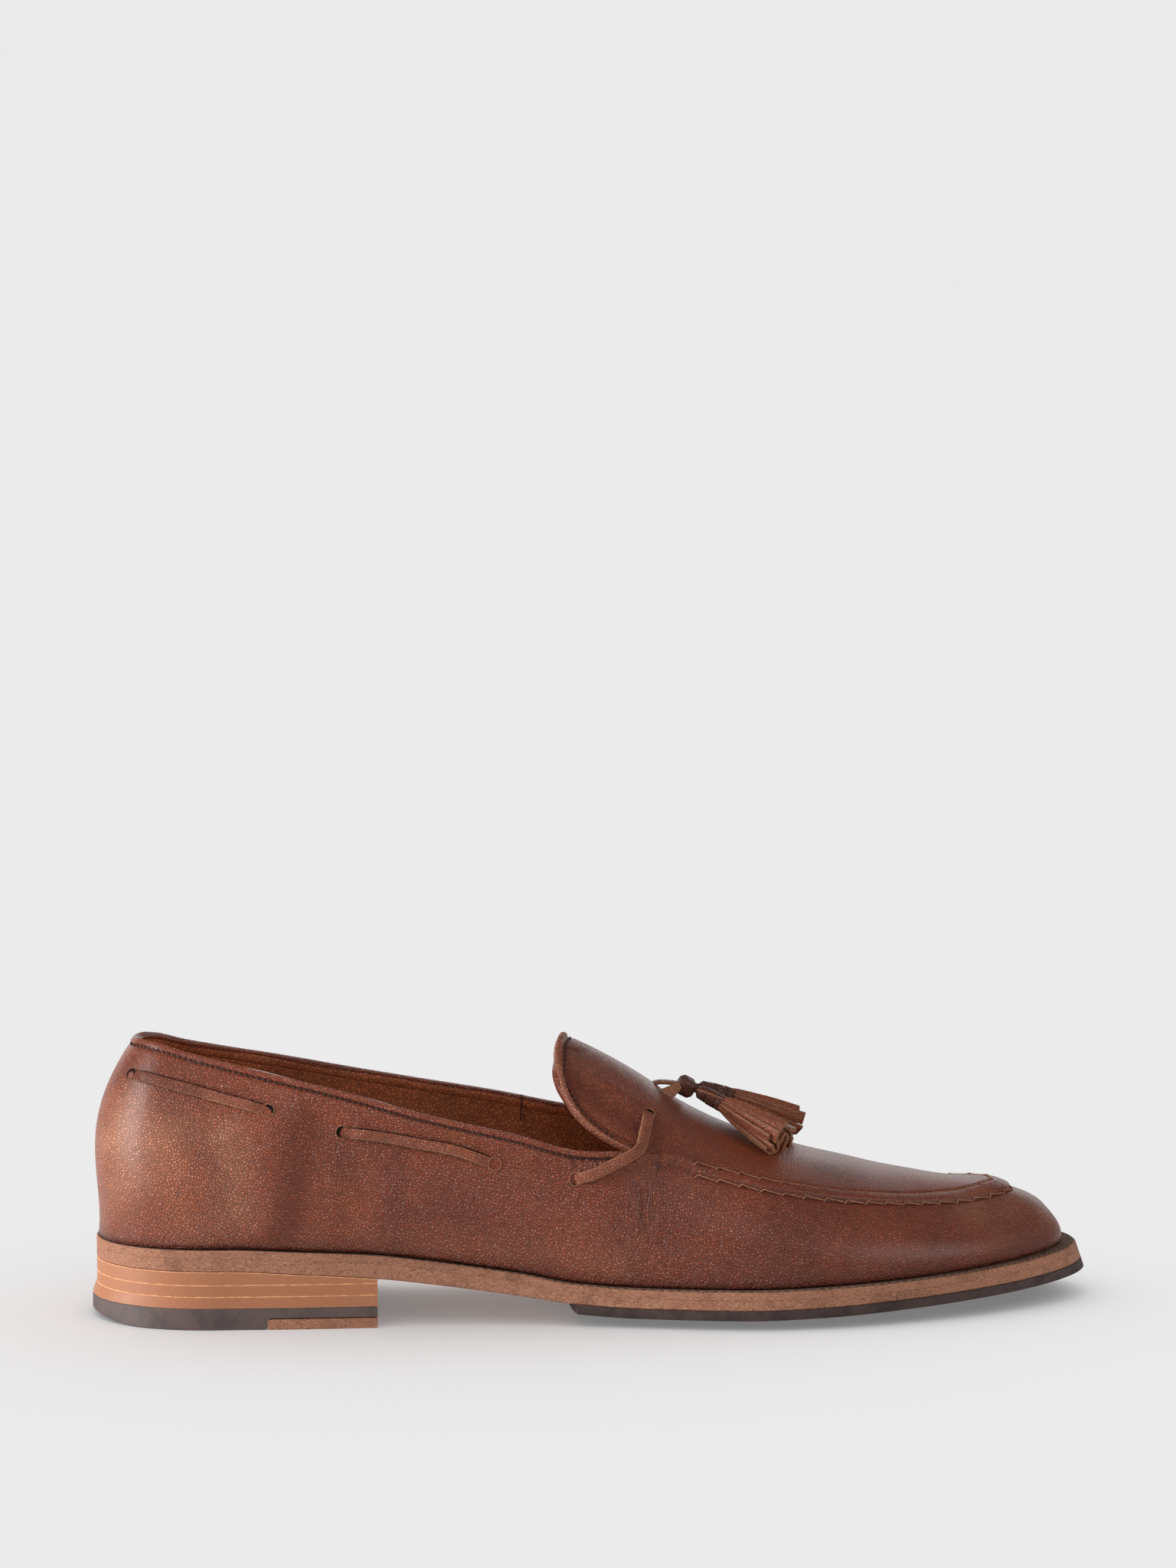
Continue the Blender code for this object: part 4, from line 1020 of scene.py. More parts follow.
def bindingOutline(d, b, o):
    # (out, in) pairs over the wall's edge, from the leather's face to the lining's
    w, lip = last["wall"], bindingLook["lip"]
    return (
        (-0.0003, d + 0.00005), (0.0001, d), (b * 0.75, d * 0.86), (b, d * 0.62), (b, d * 0.36),
        (b * 0.8, d * 0.12), (b * 0.2, -o * 0.6), (-w * 0.25, -o), (-w * 0.6, -o), (-w - b * 0.2, -o * 0.5),
        (-w - b * 0.7, d * 0.15), (-w - b * 0.7, d * 0.7), (-w - b * 0.5, d), (-w - b * 0.95, d * 1.02),
        (-w - b * 0.95, d * 1.02 + lip), (-w + 0.0002, d * 1.05 + lip), (-w + 0.0006, d * 0.5),
    )


def makeBinding(name, path, finishes, shape):
    depth, bulge, over, ruffle = shape
    outline = bindingOutline(depth, bulge, over)
    lengths = runningLengths([edge for edge, _, _ in path])
    verts = []
    for (edge, out, inward), lengthwise in zip(path, lengths):
        broad = noise.noise(Vector((lengthwise * 900, 3.1, 0)))
        narrow = noise.noise(Vector((lengthwise * 2100, 8, 0)))
        wave = ruffle * (broad + 0.6 * narrow)
        for j, (u, v) in enumerate(outline):
            extra = wave if 1 < j < 8 else 0.0
            verts.append(edge + out * (u + extra) + inward * v)
    size = len(outline)
    faces = gridFaces(len(path), size, True)
    marks = [1 if i % size in (12, 13, 14) else 0 for i in range(len(faces))] + [0, 0]
    newPiece(name, verts, faces + endFaces(size, len(verts)), finishes, marks, 60)


throatTurn = turnAt(last["throat"])
collarTurns = [throatTurn - (2 * throatTurn) * i / 520 for i in range(521)]
collarPath = edgePath([turn % 2 for turn in collarTurns])
makeBinding("collarBinding", collarPath, [upperLeather, rawEdge], bindingLook["collar"])
makeBinding("tongueBinding", tonguePath(230), [bindingLeather, rawEdge], bindingLook["tongue"])


def stitchShape():
    # one thread stitch of unit length, as a swollen capsule
    bpy.ops.object.select_all(action="DESELECT")
    bpy.ops.mesh.primitive_uv_sphere_add(segments=8, ring_count=6, radius=0.5)
    made = bpy.context.object
    verts = np.array([list(v.co) for v in made.data.vertices])
    verts = verts[:, [2, 1, 0]]
    verts[:, 0] = np.sign(verts[:, 0]) * 0.5 * (np.abs(verts[:, 0]) * 2) ** 0.75
    faces = [tuple(p.vertices) for p in made.data.polygons]
    bpy.data.objects.remove(made)
    return verts, faces


stitchVerts, stitchFaces = stitchShape()


def stitchRow(name, path, look, material):
    # path holds (point, normal) pairs in order
    lengths = runningLengths([point for point, _ in path])
    size = np.array([look["length"], look["width"], look["width"]]) * mm
    pitch = look["pitch"] * mm
    verts, faces = [], []
    j = 0
    for i in range(int(lengths[-1] / pitch)):
        goal = (i + 0.5) * pitch
        while lengths[j + 1] < goal:
            j += 1
        part = (goal - lengths[j]) / (lengths[j + 1] - lengths[j])
        place = path[j][0].lerp(path[j + 1][0], part)
        normal = path[j][1].lerp(path[j + 1][1], part).normalized()
        along = (path[j + 1][0] - path[j][0]).normalized()
        along = (Matrix.Rotation(look["slant"], 3, normal) @ along).normalized()
        beside = normal.cross(along).normalized()
        frameMatrix = np.array([list(along), list(beside), list(normal)])
        start = len(verts)
        for v in stitchVerts * size:
            verts.append(v @ frameMatrix + np.array(place + normal * look["lift"] * mm))
        faces += [tuple(start + k for k in face) for face in stitchFaces]
    newPiece(name, verts, faces, [material], None, 80)


def settled(points):
    return [onSurface(point) for point in points]


# all in mm, but the slant and the seam's place
collarStitch = {"pitch": 1.8, "length": 1.45, "width": 0.62, "lift": 0.06, "slant": -0.3}
tongueStitch = {"pitch": 2.0, "length": 1.45, "width": 0.62, "lift": 0.06, "slant": 0.0}
seamLook = {
    "place": 0.4365, "width": 0.44, "topWidth": 0.30, "height": 0.14, "off": 0.28, "offOutside": 0.22,
    "over": 0.42, "inside": (7.0, 5.0, 3.2, 2.2, 1.2, 0.4), "outside": (0.4, 1.2, 2.2),
}

collarLine = [wallPoint(turn % 2, upperLook["collarStitchDrop"]) for turn in collarTurns[6:-6]]
stitchRow("collarStitches", settled(collarLine), collarStitch, threadDark)
tongueLine = [edge + inward * upperLook["tongueStitchDrop"] for edge, _, inward in tonguePath(230)[8:-8]]
stitchRow("tongueStitches", settled(tongueLine), tongueStitch, threadDark)


def makeQuarterSeam():
    # up the lining, over the edge and a little down the outside
    turn = 2 - turnAt(seamLook["place"])
    out = wallNormal(turn, 0.001)
    behind = last["wall"] + seamLook["off"] * mm
    inside = [wallPoint(turn, d * mm) - out * behind for d in seamLook["inside"]]
    over = [wallPoint(turn, 0.0) - out * last["wall"] * 0.5 + Vector((0, 0, seamLook["over"] * mm))]
    outside = [wallPoint(turn, d * mm) + out * seamLook["offOutside"] * mm for d in seamLook["outside"]]
    line = smoothPath(inside + over + outside, 26)
    middle = wallPoint(turn, 0.002) - out * last["wall"] * 0.5
    ups = [(p - middle).normalized() for p in line]
    w, topW, h = seamLook["width"] / 2 * mm, seamLook["topWidth"] / 2 * mm, seamLook["height"] * mm
    outline = [(-w, 0), (w, 0), (topW, h), (-topW, h)]
    verts, faces, _ = sweep(line, ups, outline)
    newPiece("quarterSeam", verts, faces, [threadDark], None, 60)


makeQuarterSeam()
print("binding and topline stitches ready")


# apron seam's hand stitches

apronLook = {
    "pitch": 0.0066, "radius": 0.00021, "start": 0.584,
    # share of the pitch, mm towards the apron, mm above the leather
    "route": (
        (-0.03, -0.80, -0.15), (0.02, -0.62, 0.24), (0.09, 0.20, 0.38), (0.16, 0.60, 0.30),
        (0.28, 0.34, 0.20), (0.60, 0.08, 0.17), (0.88, -0.12, 0.18), (0.98, -0.20, 0.08),
        (1.02, -0.22, -0.25),
    ),
}


def apronLine(share, count=500):
    # from the lateral start round the toe to the medial start, a share of the seam's width below the rim
    startTurn = turnAt(apronLook["start"])
    turns = [mixed(startTurn, 2 - startTurn, i / count) for i in range(count + 1)]
    widths = [last["seamWidth"] * readTable(seamLine, "width", station(turn)[0]) for turn in turns]
    return settled([wallPoint(turn, share * width) for turn, width in zip(turns, widths)])


def handStitches(name, path, material):
    lengths = runningLengths([point for point, _ in path])

    def at(goal):
        goal = min(max(goal, 0), lengths[-1] - 1e-6)
        j = int(np.searchsorted(lengths, goal)) - 1
        j = min(max(j, 0), len(path) - 2)
        part = (goal - lengths[j]) / max(lengths[j + 1] - lengths[j], 1e-9)
        place = path[j][0].lerp(path[j + 1][0], part)
        normal = path[j][1].lerp(path[j + 1][1], part).normalized()
        along = (path[j + 1][0] - path[j][0]).normalized()
        return place, normal, along.cross(normal).normalized()

    parts = []
    circle = [(apronLook["radius"] * math.cos(a), apronLook["radius"] * math.sin(a))
              for a in [2 * math.pi * i / 6 for i in range(6)]]
    for i in range(int(lengths[-1] / apronLook["pitch"])):
        points, ups = [], []
        for share, sideways, height in apronLook["route"]:
            place, normal, beside = at((i + share) * apronLook["pitch"])
            points.append(place - beside * sideways * mm + normal * height * mm)
            ups.append(normal)
        parts.append(sweep(points, ups, circle))
    verts, faces, _ = joinParts(parts)
    newPiece(name, verts, faces, [material], None, 80)


handStitches("apronStitchesLow", apronLine(1.0), threadTan)
handStitches("apronStitchesHigh", apronLine(0.01), threadTan)
print("apron stitches ready")


# laces

laceLook = {
    "width": 0.0033, "thickness": 0.0012, "corner": 0.00028, "sink": 0.0016,
    # the rest is in mm
    "lift": 0.12, "hole": (4.1, 4.0), "holeShift": 0.1, "frontHole": (4.0, 4.1), "frontLift": 0.5,
    "hump": 0.9, "clearance": 0.35,
    # points along each lace; where on the front one the hump and the twist are, and how wide
    "rearSteps": 40, "middleSteps": 36, "frontSteps": 44, "smoothings": 12, "humpAt": (20, 5.0),
    "twist": 0.25, "twistAt": (33, 8.0),
}


def laceOutline(width, thickness, corner):
    w, h, c = width / 2, thickness, corner
    return [(-w + c, 0), (0, 0), (w - c, 0), (w, c), (w, h - c), (w - c, h), (w * 0.4, h * 1.06),
            (-w * 0.4, h * 1.06), (-w + c, h), (-w, h - c), (-w, c)]


rawSides = (2, 3, 4, 8, 9, 10)


def makeLace(name, points, ups, node, twists=None):
    # both ends dive into their holes
    count = len(points)
    lift = []
    for i in range(count):
        here = laceLook["lift"] * mm
        for fromEnd in (i, count - 1 - i):
            u = min(fromEnd / 5, 1)
            here -= laceLook["sink"] * (1 - u * u * (3 - 2 * u))
        lift.append(here)
    raised = [p + up * h for p, up, h in zip(points, ups, lift)]
    outline = laceOutline(laceLook["width"], laceLook["thickness"], laceLook["corner"])
    widths = [1 + 0.05 * noise.noise(Vector((i * 0.35, 1.7, 4))) for i in range(count)]
    verts, faces, sides = sweep(raised, ups, outline, widths=widths, twists=twists)
    marks = [1 if side in rawSides else 0 for side in sides]
    upSides = (2, 3, 4) if "medial" in name else (8, 9, 10)
    if "front" in name:
        # only the upper part of the side that faces up shows its raw edge
        pale = [side in upSides and i // len(outline) > count * 0.55 for i, side in enumerate(sides)]
        marks = [3 if mark and not raw else mark for mark, raw in zip(marks, pale)]
    else:
        # the side that faces up gets the dark hole finish: a painted shadow line along the lace's top
        marks = [2 if side in upSides else mark for side, mark in zip(sides, marks)]
    piece = newPiece(name, verts, faces, [laceLeather, rawEdge, holeDark, cutEdge], marks, 50)
    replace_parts(piece, node)


def punchHole(name, centre, normal, along, size):
    # a round-ended hole, its size in mm: pale cut rim and a dark inside, painted shade
    bpy.ops.object.select_all(action="DESELECT")
    bpy.ops.mesh.primitive_circle_add(vertices=28, radius=0.5, fill_type="NGON")
    made = bpy.context.object
    made.name = name
    bpy.ops.object.mode_set(mode="EDIT")
    bpy.ops.mesh.inset(thickness=0.025, depth=0.05)
    bpy.ops.mesh.inset(thickness=0.025, depth=0.0)
    bpy.ops.mesh.inset(thickness=0.02, depth=-0.07)
    bpy.ops.object.mode_set(mode="OBJECT")
    made.data.materials.append(rawEdge)
    made.data.materials.append(holeDark)
    for face in made.data.polygons:
        face.material_index = 1 if len(face.vertices) > 4 else 0
    beside = normal.cross(along).normalized()
    along = beside.cross(normal).normalized()
    turned = Matrix((along, beside, normal)).transposed().to_4x4()
    length, width = size
    scaled = Matrix.Diagonal((length * mm, width * mm, 0.004, 1))
    made.data.transform(Matrix.Translation(centre + normal * 0.00006) @ turned @ scaled)
    bpy.ops.object.shade_smooth_by_angle(angle=math.radians(40))
    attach(made, "root")


rearRun = table("t drop", (0.028, 0.134), (0.060, 0.135), (0.110, 0.132), (0.172, 0.131))
middleRun = table("t drop", (0.243, 0.142), (0.300, 0.112), (0.350, 0.100), (0.389, 0.118))
frontRun = table("t drop", (0.468, 0.100), (0.482, 0.086), (0.498, 0.060), (0.512, 0.034))
vampRun = table("t across", (0.538, 0.985), (0.555, 0.900), (0.566, 0.797), (0.575, 0.660))


def wallRun(rows, side, count):
    points = []
    for i in range(count + 1):
        t = mixed(rows["t"][0], rows["t"][-1], i / count)
        turn = turnAt(t) if side < 0 else 2 - turnAt(t)
        points.append(wallPoint(turn, readTable(rows, "drop", t) * last["collarHeight"]))
    return points


def clearOfLeather(verts, clearance):
    made = []
    for v in verts:
        place, normal = onSurface(Vector(v), 1.0)
        height = (Vector(v) - place).dot(normal)
        made.append(Vector(v) if height > clearance else Vector(v) + normal * (clearance - height))
    return made


def bell(i, centre, width):
    return math.exp(-(((i - centre) / width) ** 2))


def makeSideLace(side, name, rows, label, count):
    line = settled(smoothPath(wallRun(rows, side, 12), count))
    points, ups = [p for p, _ in line], [n for _, n in line]
    makeLace(f"{label}Lace_{name}", points, ups, f"lace_{label}_{name}")
    for end, other in ((0, 1), (-1, -2)):
        along = (points[end] - points[other]).normalized()
        centre = points[end] + along * laceLook["holeShift"] * mm
        punchHole(f"{label}Hole_{name}_{end % 2}", centre, ups[end], along, laceLook["hole"])


def makeFrontLace(side, name):
    guide = wallRun(frontRun, side, 4)
    for i in range(5):
        t = mixed(vampRun["t"][0], vampRun["t"][-1], i / 4)
        guide.append(vampPoint(t, side * readTable(vampRun, "across", t)))
    # over the throat's corner the lace rides on the binding
    points, ups, twists = [], [], []
    for i, (p, n) in enumerate(settled(smoothPath(guide, laceLook["frontSteps"]))):
        hump = laceLook["hump"] * mm * bell(i, *laceLook["humpAt"])
        points.append(p + n * (laceLook["frontLift"] * mm + hump))
        ups.append(n)
        twists.append(-side * laceLook["twist"] * bell(i, *laceLook["twistAt"]))
    for _ in range(laceLook["smoothings"]):
        inner = [(a + b * 2 + c) / 4 for a, b, c in zip(points, points[1:], points[2:])]
        points = clearOfLeather([points[0]] + inner + [points[-1]], laceLook["clearance"] * mm)
    nearby = [ups[max(0, i - 5):i + 6] for i in range(len(ups))]
    ups = [sum(some, Vector()).normalized() for some in nearby]
    makeLace(f"frontLace_{name}", points, ups, f"lace_front_{name}", twists)
    for end, other in ((0, 1), (-1, -2)):
        place, normal = onSurface(points[end])
        along = (points[end] - points[other]).normalized()
        punchHole(f"frontHole_{name}_{end % 2}", place, normal, along, laceLook["frontHole"])


def makeLaces():
    for side, name in ((-1, "lateral"), (1, "medial")):
        makeSideLace(side, name, rearRun, "rear", laceLook["rearSteps"])
        makeSideLace(side, name, middleRun, "middle", laceLook["middleSteps"])
        makeFrontLace(side, name)


makeLaces()
print("laces ready")


# bow and tassels, placed from the slit in the tongue

bowLook = {
    "slit": 0.592, "slitSize": (4.4, 1.3), "knot": (0.0092, -0.0010, -0.0007), "knotSize": 0.0056,
    "knotTurn": (20, 28, 12), "knotBevels": ((0.22, 1), (0.04, 2)),
    "strap": ((-0.0010, 0.0, -0.0006), (0.0008, 0.0, 0.0), (0.0034, -0.0002, 0.0), (0.0060, -0.0005, -0.0003),
              (0.0080, -0.0007, -0.0006)),
    "flap": ((0.0066, -0.0034, -0.0003), (0.0046, -0.0048, -0.0013), (0.0022, -0.0056, -0.0028)),
    "near": ((0.0134, -0.0030, -0.0021), (0.0204, -0.0082, -0.0057), (0.0356, -0.0220, -0.0147)),
    "far": ((0.0146, 0.0026, -0.0019), (0.0244, 0.0070, -0.0053), (0.0447, 0.0137, -0.0148)),
    # width, thickness and corner of the straps and of a fringe strip
    "ribbon": (0.0034, 0.0011, 0.0002), "strip": (0.0034, 0.00105, 0.00018), "strips": 13, "innerStrips": 6,
    "headRadius": 0.0024, "spread": 0.0043, "segments": 22, "clearance": 0.0002,
    # rolled head: share of its length and of its radius; the steps are its wraps
    "head": ((-0.50, 0.36), (-0.12, 0.42), (-0.06, 0.66), (0.0, 0.88), (0.28, 0.97), (0.32, 0.86),
             (0.36, 1.02), (0.64, 1.04), (0.68, 0.92), (0.72, 1.06), (0.98, 1.04), (1.03, 0.86), (1.10, 0.6)),
}
slitPoint = crestPoint(bowLook["slit"])


def fromSlit(offset):
    return slitPoint + Vector(offset)


def makeKnot():
    bpy.ops.object.select_all(action="DESELECT")
    bpy.ops.mesh.primitive_cube_add(size=bowLook["knotSize"])
    knot = bpy.context.object
    knot.name = "bowKnot"
    bpy.ops.object.mode_set(mode="EDIT")
    bpy.ops.mesh.select_all(action="SELECT")
    for share, segments in bowLook["knotBevels"]:
        bpy.ops.mesh.bevel(offset=bowLook["knotSize"] * share, segments=segments, affect="EDGES")
    bpy.ops.object.mode_set(mode="OBJECT")
    knot.data.materials.append(knotLeather)
    turned = Matrix.Identity(4)
    for axis, angle in zip("XYZ", bowLook["knotTurn"]):
        turned = Matrix.Rotation(math.radians(angle), 4, axis) @ turned
    knot.data.transform(Matrix.Translation(fromSlit(bowLook["knot"])) @ turned)
    bpy.ops.object.shade_smooth_by_angle(angle=math.radians(30))
    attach(knot, "root")
    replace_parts(knot, "bow_knot")


def bowRibbon(name, points, up, materials, node, widths=None, clearance=None):
    verts, faces, sides = sweep(points, [up] * len(points), laceOutline(*bowLook["ribbon"]), widths=widths)
    if clearance is not None:
        verts = clearOfLeather(verts, clearance)
    marks = [1 if side in rawSides else 0 for side in sides]
    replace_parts(newPiece(name, verts, faces, materials, marks, 50), node)


def makeBow():
    strap = smoothPath([fromSlit(p) for p in bowLook["strap"]], 16)
    bowRibbon("bowStrap", strap, Vector((-0.2, 0, 1)), [laceLeather, rawEdge], "bow_strap")
    flap = smoothPath([fromSlit(p) for p in bowLook["flap"]], 10)
    widths = [mixed(0.6, 1.4, i / 9) for i in range(10)]
    up = Vector((0.45, -1, 0.35)).normalized()
    bowRibbon("bowFlap", flap, up, [cutEdge, rawEdge], "bow_loop", widths, 0.00015)
    makeKnot()
    facing = vampNormal(bowLook["slit"], 0.0)
    punchHole("bowSlit", slitPoint + facing * 0.1 * mm, facing, Vector((0, 1, 0)), bowLook["slitSize"])


def tasselHead(start, collar, roll):
    axis = (collar - start).normalized()
    beside = axis.cross(Vector((0, 0, 1))).normalized()
    upward = beside.cross(axis)
    segments = bowLook["segments"]
    rings = []
    for share, radius in bowLook["head"]:
        centre = start.lerp(collar, share)
        for i in range(segments):
            wrap = i / segments
            angle = 2 * math.pi * wrap + roll + 0.5 * share
            reach = radius * bowLook["headRadius"] * (0.92 + 0.18 * wrap)
            rings.append(centre + reach * (math.cos(angle) * beside + math.sin(angle) * upward))
    faces = gridFaces(len(bowLook["head"]), segments, True)
    marks = [1 if i % segments == segments - 1 else 2 for i in range(len(faces))]
    return rings, faces + endFaces(segments, len(rings)), marks + [2, 1]


def tasselStrip(collar, end, angle, inner, outer, wave, reach):
    axis = (end - collar).normalized()
    beside = axis.cross(Vector((0, 0, 1))).normalized()
    upward = beside.cross(axis)
    radial = math.cos(angle) * beside * 1.12 + math.sin(angle) * upward * 0.88
    tangent = axis.cross(radial).normalized()
    face = (radial.normalized() + tangent * 0.55).normalized()
    length = (end - collar).length
    points, widths = [], []
    for i in range(9):
        u = i / 8
        radius = mixed(inner * bowLook["headRadius"] * 0.85, outer * bowLook["spread"], u**0.8)
        sag = -0.0004 * math.sin(math.pi * u) * wave
        points.append(collar + axis * length * reach * (u * 1.02 - 0.02) + radial * (radius + sag))
        widths.append(mixed(0.46, 1.15, u**0.8))
    verts, faces, sides = sweep(points, [face] * 9, laceOutline(*bowLook["strip"]), widths=widths)
    return verts, faces, [1 if side in rawSides or side == -1 else 0 for side in sides]


def makeTassel(name, route, node, roll):
    start, collar, end = [fromSlit(p) for p in route]
    parts = [tasselHead(start, collar, roll)]
    layers = ((bowLook["strips"], 0.78, 1.0), (bowLook["innerStrips"], 0.40, 0.52))
    for layer, (count, inner, outer) in enumerate(layers):
        for k in range(count):
            angle = 2 * math.pi * (k + 0.3 * layer) / count + roll
            reach = 0.96 + 0.06 * math.sin(k * 2.4 + layer + roll)
            parts.append(tasselStrip(collar, end, angle, inner, outer, math.sin(k * 1.9 + roll), reach))
    verts, faces, marks = joinParts(parts)
    verts = clearOfLeather(verts, bowLook["clearance"])
    piece = newPiece(name, verts, faces, [laceLeather, cutEdge, knotLeather], marks, 45)
    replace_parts(piece, node)


makeBow()
makeTassel("nearTassel", bowLook["near"], "tassel_lateral", 0.6)
makeTassel("farTassel", bowLook["far"], "tassel_medial", 2.1)
print("bow and tassels ready")


# soles and heel

soleLook = {
    "stations": 150, "toothedStations": 420, "across": 10, "edge": 0.00035, "outsoleTopEdge": 0.00006,
    "rubberEdge": 0.00025, "teeth": 0.00035, "start": 0.012, "sockStart": 0.045, "seamGap": 0.00005,
}


def writeRuns(piece, runs):
    layer = piece.data.attributes.new("run", "FLOAT_VECTOR", "POINT")
    layer.data.foreach_set("vector", np.array(runs, dtype=np.float32).ravel())


def soleLayer(name, firstTurn, lastTurn, bottom, top, material, node, slot, hollow=0.0, insets=None,
              edge=soleLook["edge"], topEdge=None, count=soleLook["stations"], teeth=0.0, edgeMaterial=None):
    # a slab between two heights, with its edge broken all round; teeth notch its lower edge
    topEdge = topEdge or edge
    across = soleLook["across"]
    turns = [mixed(firstTurn, lastTurn, i / count) for i in range(count + 1)]
    lengths = runningLengths([planPoint(turn) for turn in turns])
    verts, runs = [], []
    for i, turn in enumerate(turns):
        t, _ = station(turn)
        inset = insets(t) if insets else 0.0
        draw = hollow * (turn / lastTurn) ** 12
        notch = teeth * (i % 2)
        loop = []
        for low, side in ((True, 1), (False, -1)):
            height = bottom if low else top
            broken = edge if low else topEdge
            for k in range(across + 1):
                share = (2 * k / across - 1) * side
                z = height(t, share)
                near = soleEdge(turn, inset + broken, z)
                far = soleEdge(2 - turn, inset + broken, z)
                point = near.lerp(far, (share + 1) / 2)
                point.z = z
                loop.append((point, share))
            sideTurn = turn if side < 0 else 2 - turn
            lowPoint = soleEdge(sideTurn, inset, bottom(t, side) + edge + notch)
            highPoint = soleEdge(sideTurn, inset, top(t, side) - topEdge)
            loop += [(lowPoint, side), (highPoint, side)] if low else [(highPoint, side), (lowPoint, side)]
        for point, share in loop:
            point.x -= draw * (1 - share**2)
            verts.append(point)
            runs.append((lengths[i], point.z, point.y * 0.4))
    size = 2 * (across + 3)
    faces = gridFaces(count + 1, size, True)
    broken = (across, across + 2, 2 * across + 3, 2 * across + 5) if edgeMaterial else ()
    marks = [1 if i % size in broken else 0 for i in range(len(faces))] + [0, 0]
    faces += endFaces(size, len(verts))
    piece = newPiece(name, verts, faces, [material, edgeMaterial or material], marks, 35)
    writeRuns(piece, runs)
    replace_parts(piece, node)


def weltInset(t):
    return last["weltMargin"] * readTable(weltMargin, "margin", t)


def makeSoles():
    start, end = soleLook["start"], 1 - soleLook["start"]
    seamGap = soleLook["seamGap"]

    def underWelt(t, across):
        return soleTop(t) + last["gap"] * 0.85

    def rubberUnderside(t, across):
        return soleUnderside(t, across) - last["gap"] - last["rubber"]

    def rubberTop(t, across):
        return soleUnderside(t, across) - seamGap

    def sockUnderside(t, across):
        return soleTop(t) + last["gap"]

    def sockTop(t, across):
        return soleTop(t) + last["gap"] + last["insole"]

    def sockInset(t):
        return weltInset(t) + last["wall"] + 3 * last["gap"]

    soleLayer("outsoleEdge", start, end, soleUnderside, underWelt, soleLeather, "outsole", "sole_leather",
              topEdge=soleLook["outsoleTopEdge"])
    halfSoleStart = turnAt(last["halfSoleStart"] / last["soleLength"])
    soleLayer("halfSole", halfSoleStart, end, rubberUnderside, rubberTop, soleRubber, "half_sole",
              "sole_rubber", edge=soleLook["rubberEdge"], count=soleLook["toothedStations"],
              teeth=soleLook["teeth"])
    soleLayer("insoleSock", soleLook["sockStart"], 1 - soleLook["sockStart"], sockUnderside, sockTop,
              liningLeather, "insole", "lining_leather", insets=sockInset)


weltLook = {
    "stations": 420, "edge": 0.0004, "roughness": 0.00012, "stitchInset": 0.42, "stitchFrom": 0.32,
    "stitchTo": 0.34,
    "stitch": {"pitch": 2.6, "length": 1.9, "width": 0.75, "lift": -0.15, "slant": 0.0},
}


def makeWelt():
    # a band all round, open inside
    count, e = weltLook["stations"], weltLook["edge"]
    turns = [2 * i / count for i in range(count)]
    lengths = runningLengths([planPoint(turn) for turn in turns])
    verts, runs = [], []
    for i, turn in enumerate(turns):
        t, _ = station(turn)
        inner = weltInset(t) + last["wall"] + last["gap"]
        low, high = soleTop(t) + last["gap"], weltTop(t)
        rough = weltLook["roughness"] * noise.noise(Vector((i * 0.9, 0.3, 7)))
        outline = ((inner, low), (0.0, low), (-rough, low + e), (rough, high - e), (e + rough, high),
                   (inner, high))
        for inset, z in outline:
            verts.append(soleEdge(turn, inset, z))
            runs.append((lengths[i], z, inset))
    size = len(outline)
    faces = gridFaces(count, size, True)
    final = (count - 1) * size
    faces += [(final + j, final + (j + 1) % size, (j + 1) % size, j) for j in range(size)]
    marks = [1 if i % size == 4 else 0 for i in range(len(faces))]
    piece = newPiece("weltBand", verts, faces, [soleLeather, weltLeather], marks, 35)
    writeRuns(piece, runs)
    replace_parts(piece, "welt")
    path = []
    for i in range(700):
        turn = mixed(turnAt(weltLook["stitchFrom"]), 2 - turnAt(weltLook["stitchTo"]), i / 699)
        t, _ = station(turn)
        inset = weltInset(t) * weltLook["stitchInset"]
        path.append((soleEdge(turn, inset, weltTop(t)), Vector((0, 0, 1))))
    stitchRow("weltStitches", path, weltLook["stitch"], weltThread)


heelLook = {
    "liftStations": 60, "liftEdge": 0.00015, "topliftStations": 90, "insetStations": 30, "edge": 0.0002,
    "insetGap": 0.0002,
}


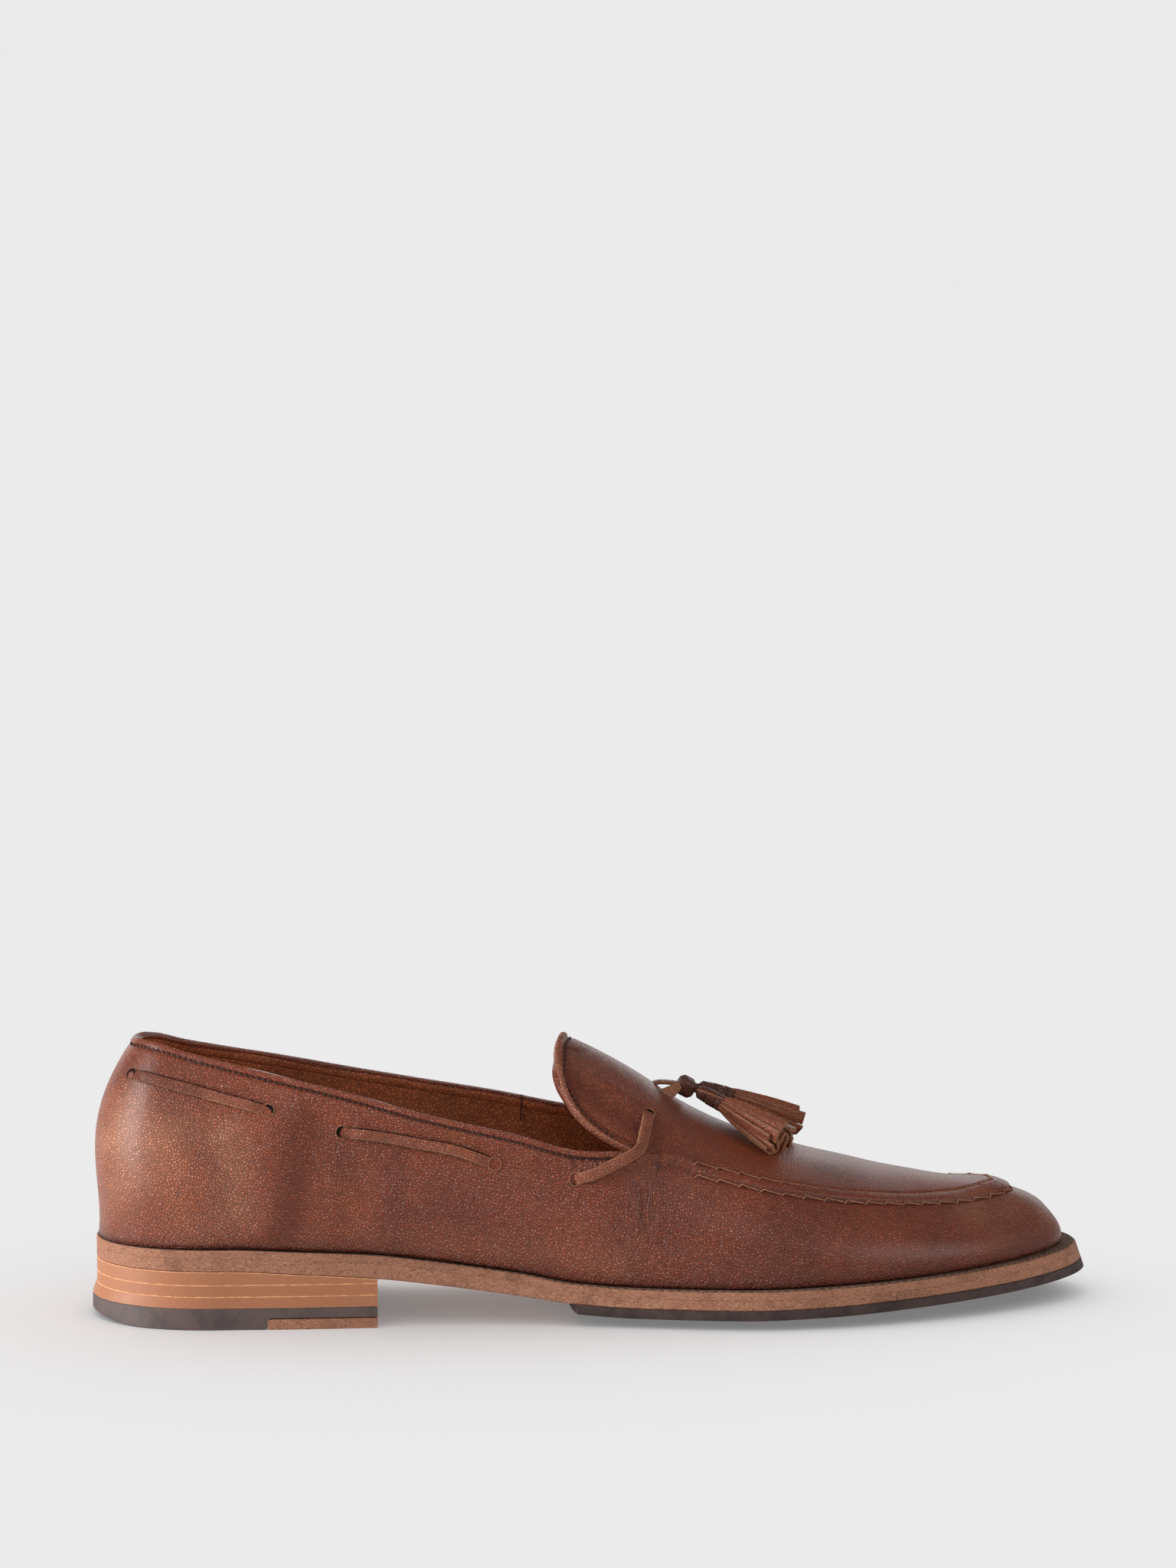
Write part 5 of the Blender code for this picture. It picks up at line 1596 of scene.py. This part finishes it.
def makeHeel():
    start = soleLook["start"]
    breast = turnAt(last["heelLength"] / last["soleLength"])
    hollow = last["breastHollow"]
    seamGap = soleLook["seamGap"]
    seamX = last["heelLength"] - last["insetLength"] - last["soleLength"] / 2
    lift = {"hollow": hollow, "edge": heelLook["liftEdge"], "count": heelLook["liftStations"],
            "edgeMaterial": stackSeam}

    def topliftUnderside(t, across):
        # flat, bevelled at the back and cut away over the inset
        if t * last["soleLength"] - last["soleLength"] / 2 > seamX:
            return last["inset"] + last["gap"] * 0.8
        return last["backBevel"] * max(0, 1 - t / 0.05) ** 1.5

    level = last["toplift"]
    for number in (3, 2):
        low, high = level + seamGap, level + last["gap"] + last["lift"]
        soleLayer(f"heelLift{number}", start, breast, lambda t, a, z=low: z, lambda t, a, z=high: z,
                  stackLeather, f"heel_lift_{number}", "heel_leather", **lift)
        level = high
    soleLayer("heelLift1", start, breast, lambda t, a: level + seamGap,
              lambda t, a: soleUnderside(t, a) - seamGap, stackLeather, "heel_lift_1", "heel_leather", **lift)
    soleLayer("heelToplift", start, breast, topliftUnderside, lambda t, a: last["toplift"], topliftRubber,
              "heel_toplift", "sole_rubber", hollow, edge=heelLook["edge"], count=heelLook["topliftStations"])
    insetStart = turnAt((seamX + heelLook["insetGap"] + last["soleLength"] / 2) / last["soleLength"])
    soleLayer("heelInset", insetStart, breast, lambda t, a: 0.0, lambda t, a: last["inset"], soleLeather,
              "heel_inset", "heel_leather", hollow, edge=heelLook["edge"], count=heelLook["insetStations"])


makeSoles()
makeWelt()
makeHeel()
print("soles and heel ready")


# lights fall on the shoe; the floor has its own even light

shoeParts = bpy.data.collections.new("shoeParts")
for one in bpy.data.objects:
    if one.type == "MESH" and one.name != "floor":
        shoeParts.objects.link(one)
floorOnly = bpy.data.collections.new("floorOnly")
floorOnly.objects.link(floor)
for lightName in ("leftFront", "behind", "front", "toeSide"):
    softLight(lightName, studio[lightName], shoeParts)
sun = bpy.data.objects.new("floorSun", bpy.data.lights.new("floorSun", "SUN"))
sun.data.energy = studio["floorSun"]
sun.data.angle = math.radians(studio["floorSunSpread"])
sun.rotation_euler = Vector(studio["floorSunFrom"]).to_track_quat("Z", "Y").to_euler()
sun.light_linking.receiver_collection = floorOnly
bpy.context.scene.collection.objects.link(sun)
